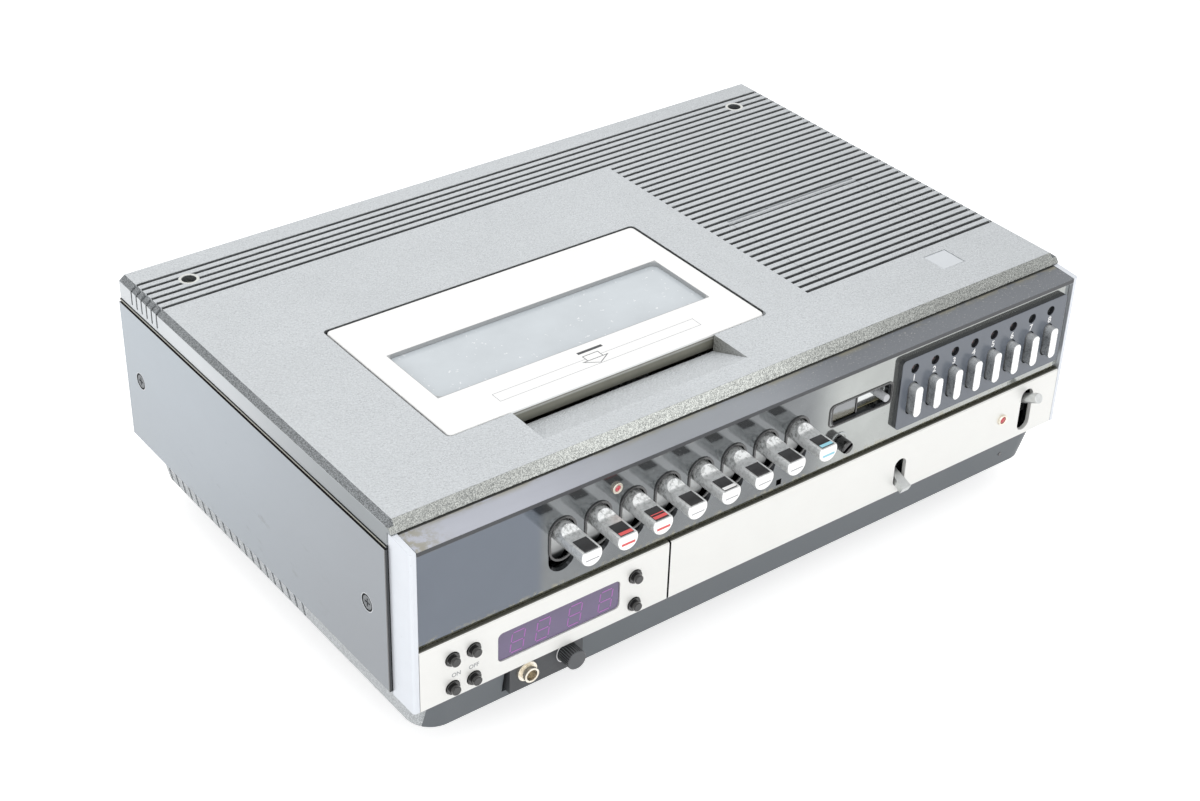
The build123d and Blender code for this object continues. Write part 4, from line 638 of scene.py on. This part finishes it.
def metal(name, colour, dull, roughness, size=1.5):
    """A bare metal with patches of the duller colour."""
    f = Finish(name)
    mottle = f.noise(size, 4, 0.65)
    mixed = f.mix(f.ease(mottle, 0.35, 0.7), colour, dull)
    return f.give(base_color=mixed, metallic=0.9, roughness=roughness + mottle * 0.14,
                  normal=f.rounded(0.25))


def rubber():
    """Grainy dark rubber."""
    f = Finish("rubber")
    grain = f.noise(0.8, 3, 0.6)
    return f.give(base_color=f.tint(paint(46, 46, 47), 0.8 + grain * 0.4), roughness=0.8,
                  normal=f.bump(grain, 0.05, f.rounded(0.5)))


def counter_black():
    """Grey drums with dark gaps between them."""
    f = Finish("counter_black")
    x, y, z = f.place()
    grain = f.noise(0.7, 3, 0.6)
    first, pitch = 45.8, 3.9
    gap = abs((x - first + pitch / 2) % pitch - pitch / 2) > 1.62
    colour = f.mix(gap, f.tint(paint(112, 113, 110), 0.75 + grain * 0.5), paint(24, 24, 24))
    return f.give(base_color=colour, roughness=0.4, normal=f.rounded(0.2))


def counter_glass():
    """Hazy glass with a painted reflection that makes it paler above a slanting line."""
    f = Finish("counter_glass")
    x, y, z = f.place()
    haze = f.noise(4, 3, 0.6)
    # Painted reflection: paler and less clear above a slanting line.
    reflection_band = f.ease(z + (x - 52) * 0.08 + haze * 2.4, 111.4, 114.0)
    colour = f.mix(reflection_band, paint(116, 114, 98), paint(166, 170, 173))
    return f.give(base_color=colour, roughness=0.08 + haze * 0.1, alpha=0.62 + reflection_band * 0.16,
                  coat_weight=0.7, coat_roughness=0.03)


def flat_print(name, colour):
    """Printing ink, a little worn."""
    f = Finish(name)
    wear = f.noise(0.8, 3, 0.6)
    return f.give(base_color=f.tint(colour, 0.85 + wear * 0.25), roughness=0.4)


finishes = {
    "cover": pebbled_cover(), "lid": bright_lid(), "pane": lid_pane(), "side": glossy_side(),
    "trim": white_trim(), "plate": satin_plate(), "fascia": glossy_fascia(),
    "channel_plate": dark_plate(), "plinth": plinth_plastic(), "ledge": ledge_plastic(),
    "key": key_chrome(), "button": button_silver(), "lever": lever_silver(),
    "black": black_gloss(), "glass": counter_glass(), "tracking": tracking_plastic(),
    "display": display_window(), "lamp": lamp_red(), "rubber": rubber(),
    "counter": counter_black(),
    "socket_plate": plain_dark("socket_plate", 74), "rear": plain_dark("rear_plastic", 70),
    "core": plain_dark("painted_core", 60), "tuner": plain_dark("tuner_plastic", 56),
    "reset": plain_dark("reset_plastic", 196, 0.3),
    "jack": metal("jack_nickel", paint(246, 240, 228), paint(224, 215, 196), 0.22),
    "lip": lid_lip(), "screw": screw_zinc(),
    "zinc": metal("zinc_plate", paint(190, 188, 180), paint(140, 138, 130), 0.35, 9),
    "drum": metal("drum_metal", paint(214, 214, 216), paint(184, 184, 187), 0.18, 6),
    "flywheel": metal("turned_brass", paint(212, 178, 104), paint(170, 138, 76), 0.25, 5),
    "reel": plain_dark("reel_plastic", 196, 0.5),
    "inlay": black_gloss("key_inlay", 62), "slot_rim": black_gloss("slot_rim", 58),
    "stripe_red": flat_print("stripe_red", paint(236, 98, 98)),
    "stripe_white": flat_print("stripe_white", paint(246, 246, 246)),
    "stripe_blue": flat_print("stripe_blue", paint(160, 222, 238)),
    "tip_line": flat_print("tip_line", paint(176, 178, 181)),
    "white_print": flat_print("white_print", paint(250, 250, 250)),
    "grey_print": flat_print("grey_print", paint(168, 170, 172)),
    "digit": flat_print("unlit_digit", paint(182, 104, 192)),
    "badge": white_trim("badge_tile", (214, 218, 222)),
}

worn_by = {
    "cover": ["top_cover", "tuning_hatch"], "lid": ["cassette_lid"], "pane": ["lid_window"],
    "side": ["left_side_panel", "right_side_panel"], "trim": ["end_trims"],
    "plate": ["clock_panel", "selector_panel"], "fascia": ["front_fascia"],
    "channel_plate": ["channel_plate"], "plinth": ["base_tub"], "ledge": ["front_ledge"],
    "key": ["eject_key", "record_key", "audio_dub_key", "rewind_key", "play_key",
            "fast_forward_key", "stop_key", "pause_key"],
    "button": ["channel_button_%d" % i for i in range(1, 9)],
    "lever": ["record_selector_lever", "mode_lever"],
    "black": ["clock_button", "day_button", "timer_on_button", "timer_off_button",
              "hour_button", "minute_button", "memory_switch"],
    "tracking": ["tracking_knob"], "display": ["clock_window"], "lamp": ["indicator_lamps"],
    "rubber": ["feet"], "counter": ["counter_drums"], "socket_plate": ["socket_plate"],
    "rear": ["rear_panel"], "core": ["power_unit"], "tuner": ["tuner_unit"],
    "reset": ["counter_reset_button"], "jack": ["mic_jack", "rear_sockets"],
    "screw": ["case_screws"],
    "zinc": ["cassette_carriage", "lift_arm_outer", "lift_arm_inner", "deck_chassis"],
    "drum": ["tape_path", "head_drum"], "flywheel": ["capstan_flywheel"],
    "reel": ["supply_reel", "take_up_reel"],
}


def dress_the_solids():
    """Gives each solid of the frame its finish."""
    for finish, names in worn_by.items():
        for name in names:
            solid = nodes[name]
            solid.data.materials.clear()
            solid.data.materials.append(finishes[finish])


# Small pieces

def show(name, mesh, finish, body):
    """Makes a bmesh, drawn in millimetres, a piece that rides on a body."""
    bmesh.ops.remove_doubles(mesh, verts=mesh.verts, dist=0.0005)
    bmesh.ops.recalc_face_normals(mesh, faces=mesh.faces)
    bmesh.ops.scale(mesh, vec=(MM, MM, MM), verts=mesh.verts)
    data = bpy.data.meshes.new(name)
    mesh.to_mesh(data)
    mesh.free()
    data.materials.append(finishes[finish])
    piece = bpy.data.objects.new(name, data)
    bpy.context.scene.collection.objects.link(piece)
    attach(piece, body)
    return piece


def bar(mesh, low, high, round_by=0.2, segments=2):
    """A block between two corners with its edges rounded."""
    middle = [(a + b) / 2 for a, b in zip(low, high)]
    size = [b - a for a, b in zip(low, high)]
    block = bmesh.ops.create_cube(mesh, size=1)["verts"]
    bmesh.ops.scale(mesh, vec=size, verts=block)
    bmesh.ops.translate(mesh, vec=middle, verts=block)
    edges = list({edge for vert in block for edge in vert.link_edges})
    bmesh.ops.bevel(mesh, geom=edges, offset=round_by, segments=segments, affect="EDGES",
                    profile=0.5, material=-1)


def turned(mesh, profile, x, z, steps=40):
    """A ring or cap turned round an axis along Y, from (radius, y) points."""
    verts = [mesh.verts.new((x + radius, y, z)) for radius, y in profile]
    edges = [mesh.edges.new(pair) for pair in zip(verts, verts[1:])]
    bmesh.ops.spin(mesh, geom=verts + edges, cent=(x, 0, z), axis=(0, 1, 0), angle=tau,
                   steps=steps, use_merge=True)


def ring(mesh, x, z, inner, outer, back, front, round_by=0.25):
    """A closed ring facing forward, with its front edges softened."""
    profile = [(inner, back), (inner, front + round_by), (inner + round_by, front),
               (outer - round_by, front), (outer, front + round_by), (outer, back), (inner, back)]
    turned(mesh, profile, x, z)


def key_inlays():
    """A dark pad on each key, a line on its tip and a coloured band on four of them."""
    stripes = {"record_key": "stripe_red", "audio_dub_key": "stripe_red",
               "play_key": "stripe_white", "pause_key": "stripe_blue"}
    half_pad, half_line, half_band = 4.05, 4.1, 3.95
    tip, band_low, band_high = at(-22.03), KEY_TOP + 0.42, KEY_TOP + 0.50
    for name, x in zip(worn_by["key"], KEY_XS):
        pad = bmesh.new()
        bar(pad, (x - half_pad, at(-21.0), KEY_TOP), (x + half_pad, at(-11.0), KEY_TOP + 0.45),
            0.12)
        show(name + "_pad", pad, "inlay", name)
        colour = stripes.get(name)
        bold = colour in ("stripe_red", "stripe_blue")
        rise = 0.7 if bold else 0.35
        line = bmesh.new()
        bar(line, (x - half_line, tip, KEY_TIP_LINE - rise),
            (x + half_line, at(-21.9), KEY_TIP_LINE + rise), 0.015, 1)
        show(name + "_tip_line", line, colour if bold else "tip_line", name)
        if colour is None:
            continue
        twice = name == "audio_dub_key"
        front = -19.0 if twice else -19.6
        band = bmesh.new()
        bar(band, (x - half_band, at(front - 1.0), band_low),
            (x + half_band, at(front + 1.2), band_high), 0.03, 1)
        if twice:
            bar(band, (x - half_band, at(-16.6), band_low),
                (x + half_band, at(-16.0), band_high), 0.03, 1)
        show(name + "_band", band, colour, name)


def badge_tile():
    """A bare tile in the recess on the cover."""
    tile = bmesh.new()
    bar(tile, (157.7, at(41.3), 146.4), (173.7, at(57.3), 146.85), 0.3)
    show("badge_tile", tile, "badge", "case")


def lamp_rings():
    """Bright rings round the two lamps on the front."""
    rings = bmesh.new()
    ring(rings, *RECORD_LAMP, 1.75, 3.1, at(FASCIA_DEPTH), at(1.1))
    ring(rings, *MODE_LAMP, 2.2, 3.3, at(0.0), at(-1.5))
    show("lamp_rings", rings, "jack", "case")


def rounded_frame(mesh, low, high, back, front, corner, width):
    """A flat ring with round corners, facing forward, between two (x, z) corners."""
    middle = ((low[0] + high[0]) / 2, back, (low[1] + high[1]) / 2)
    sheet = bmesh.ops.create_grid(mesh, x_segments=1, y_segments=1, size=0.5)["verts"]
    bmesh.ops.scale(mesh, vec=(high[0] - low[0], high[1] - low[1], 1), verts=sheet)
    bmesh.ops.rotate(mesh, cent=(0, 0, 0), matrix=FACING_FORWARD, verts=sheet)
    bmesh.ops.translate(mesh, vec=middle, verts=sheet)
    bmesh.ops.bevel(mesh, geom=sheet, offset=corner, segments=6, affect="VERTICES", profile=0.5,
                    material=-1)
    inner = list(mesh.faces)
    bmesh.ops.inset_region(mesh, faces=inner, thickness=width, use_boundary=True,
                           use_even_offset=True)
    bmesh.ops.delete(mesh, geom=inner, context="FACES_ONLY")
    raised = bmesh.ops.extrude_face_region(mesh, geom=list(mesh.faces))
    lifted = [part for part in raised["geom"] if isinstance(part, bmesh.types.BMVert)]
    bmesh.ops.translate(mesh, vec=(0, front - back, 0), verts=lifted)


def key_slot_rims():
    """A raised glossy rim round each key's slot."""
    half_width = 8.3
    rims = bmesh.new()
    for x in KEY_XS:
        one = bmesh.new()
        rounded_frame(one, (x - half_width, 96.25), (x + half_width, 122.45),
                      at(FASCIA_DEPTH - 0.02), at(1.9), half_width - 0.05, 1.2)
        data = bpy.data.meshes.new("one_rim")
        one.to_mesh(data)
        one.free()
        rims.from_mesh(data)
        bpy.data.meshes.remove(data)
    show("key_slot_rims", rims, "slot_rim", "case")


def counter_window():
    """Two frames round the counter, its glass, and the bar beside the reset button."""
    outer = bmesh.new()
    rounded_frame(outer, (39.2, 105.4), (85.8, 119.8), at(2.45), at(2.05), 3.4, 0.9)
    show("counter_outer_frame", outer, "slot_rim", "case")
    inner = bmesh.new()
    rounded_frame(inner, (41.0, 105.9), (85.0, 119.3), at(2.9), at(2.3), 3.2, 0.7)
    show("counter_inner_frame", inner, "slot_rim", "case")
    glass = bmesh.new()
    bar(glass, (43.0, at(4.4), 107.6), (59.9, at(5.4), 117.6), 0.3)
    show("counter_glass", glass, "glass", "case")
    divider = bmesh.new()
    bar(divider, (60.0, at(3.8), 107.3), (60.9, at(7.05), 117.9), 0.2)
    show("counter_divider", divider, "inlay", "case")


def lid_front_lip():
    """The turned-down front edge of the lid, over the finger recess."""
    lip = bmesh.new()
    bar(lip, (-158.0, at(61.9), 137.4), (38.0, at(63.3), 144.55), 0.5, 3)
    show("lid_front_lip", lip, "lip", "carriage")


def printed(name, text, x, z, size, depth, finish):
    """Flat numbers or plain words printed on a face that looks forward."""
    curve = bpy.data.curves.new(name, "FONT")
    curve.body = text
    curve.size = size
    curve.align_x = "CENTER"
    curve.extrude = 0.02
    curve.offset = 0.02 * size
    holder = bpy.data.objects.new(name, curve)
    bpy.context.scene.collection.objects.link(holder)
    bpy.context.view_layer.update()
    data = bpy.data.meshes.new_from_object(holder)
    bpy.data.objects.remove(holder)
    mesh = bmesh.new()
    mesh.from_mesh(data)
    bmesh.ops.rotate(mesh, cent=(0, 0, 0), matrix=FACING_FORWARD, verts=mesh.verts)
    bmesh.ops.translate(mesh, vec=(x, at(depth), z), verts=mesh.verts)
    show(name, mesh, finish, "case")


def panel_prints():
    """Numbers over the channel buttons and the two words of the timer."""
    for number, x in enumerate(CHANNEL_XS, 1):
        printed("channel_number_%d" % number, str(number), x, CHANNEL_NUMBERS, 5.4, -0.53,
                "white_print")
    for name, word, x, z in (("timer_on_word", "ON", -200.3, 55.4),
                             ("timer_off_word", "OFF", -190.0, 55.6)):
        printed(name, word, x, z, 3.4, -0.03, "grey_print")


def clock_digits():
    """Unlit seven-bar digits that lean to the right, just showing through the window."""
    lean, half, low, high, line, trim = 0.14, 3.9, 53.2, 65.2, 0.28, 0.7
    centre = (low + high) / 2
    bars = [(-half, half, low, low), (-half, half, centre, centre), (-half, half, high, high),
            (-half, -half, low, centre), (half, half, low, centre),
            (-half, -half, centre, high), (half, half, centre, high)]
    front, back = at(0.76), at(0.80)
    mesh = bmesh.new()
    for middle in CLOCK_DIGIT_XS:
        for x0, x1, z0, z1 in bars:
            before = set(mesh.verts)
            if z0 == z1:
                bar(mesh, (middle + x0 + trim, front, z0 - line),
                    (middle + x1 - trim, back, z0 + line), 0.015, 1)
            else:
                bar(mesh, (middle + x0 - line, front, z0 + trim),
                    (middle + x0 + line, back, z1 - trim), 0.015, 1)
            for vert in set(mesh.verts) - before:
                vert.co.x += (vert.co.z - centre) * lean
    show("clock_digits", mesh, "digit", "case")


def tracking_marks():
    """A white arc printed round the left of the knob."""
    mesh = bmesh.new()
    x, z = TRACKING_KNOB
    start, sweep = radians(52), radians(186)
    verts = [mesh.verts.new((x + r * cos(start), at(2.96), z + r * sin(start)))
             for r in (6.1, 6.65)]
    edge = mesh.edges.new(verts)
    bmesh.ops.spin(mesh, geom=verts + [edge], cent=(x, 0, z), axis=(0, -1, 0), angle=sweep,
                   steps=30, use_merge=False)
    show("tracking_marks", mesh, "white_print", "case")


def pale_floor():
    """Lit like plain paper, with a steady glow for what looks at it, so it stays near white."""
    f = Finish("pale_floor")
    glow = f.tint([FLOOR_GLOW] * 3, f.looked_at())
    return f.give(base_color=[FLOOR_TONE] * 3, roughness=0.9, emission_color=glow,
                  emission_strength=1.0)


def stage_and_light():
    """The floor, which isn't part of the machine, the even light and three soft lamps."""
    sheet = bmesh.new()
    bmesh.ops.create_grid(sheet, x_segments=1, y_segments=1, size=6)
    data = bpy.data.meshes.new("floor")
    sheet.to_mesh(data)
    sheet.free()
    data.materials.append(pale_floor())
    floor = bpy.data.objects.new("floor", data)
    bpy.context.scene.collection.objects.link(floor)
    sky = Sky("studio")
    strength = sky.node("ShaderNodeMapRange", None,
                        {0: sky.looked_at(), 3: SKY_LIGHTING, 4: SKY_SEEN})
    sky.set(sky.shader.inputs["Strength"], strength)
    sky.set(sky.shader.inputs["Color"], (1, 1, 1))
    softbox("overhead", (0.1, 0.2, 1.6), (0, 0, 0.1), (1.6, 1.6), 6.5)
    softbox("front_fill", (-0.2, -1.7, 0.7), (0, 0, 0.05), (1.6, 1.0), 7.5)
    softbox("left_fill", (-1.7, -0.1, 0.6), (0, 0, 0.05), (1.4, 1.0), 5)
    bpy.context.scene.view_settings.view_transform = "Standard"


look_at_the_machine()
stage_and_light()
dress_the_solids()
key_inlays()
badge_tile()
lamp_rings()
key_slot_rims()
counter_window()
lid_front_lip()
panel_prints()
clock_digits()
tracking_marks()
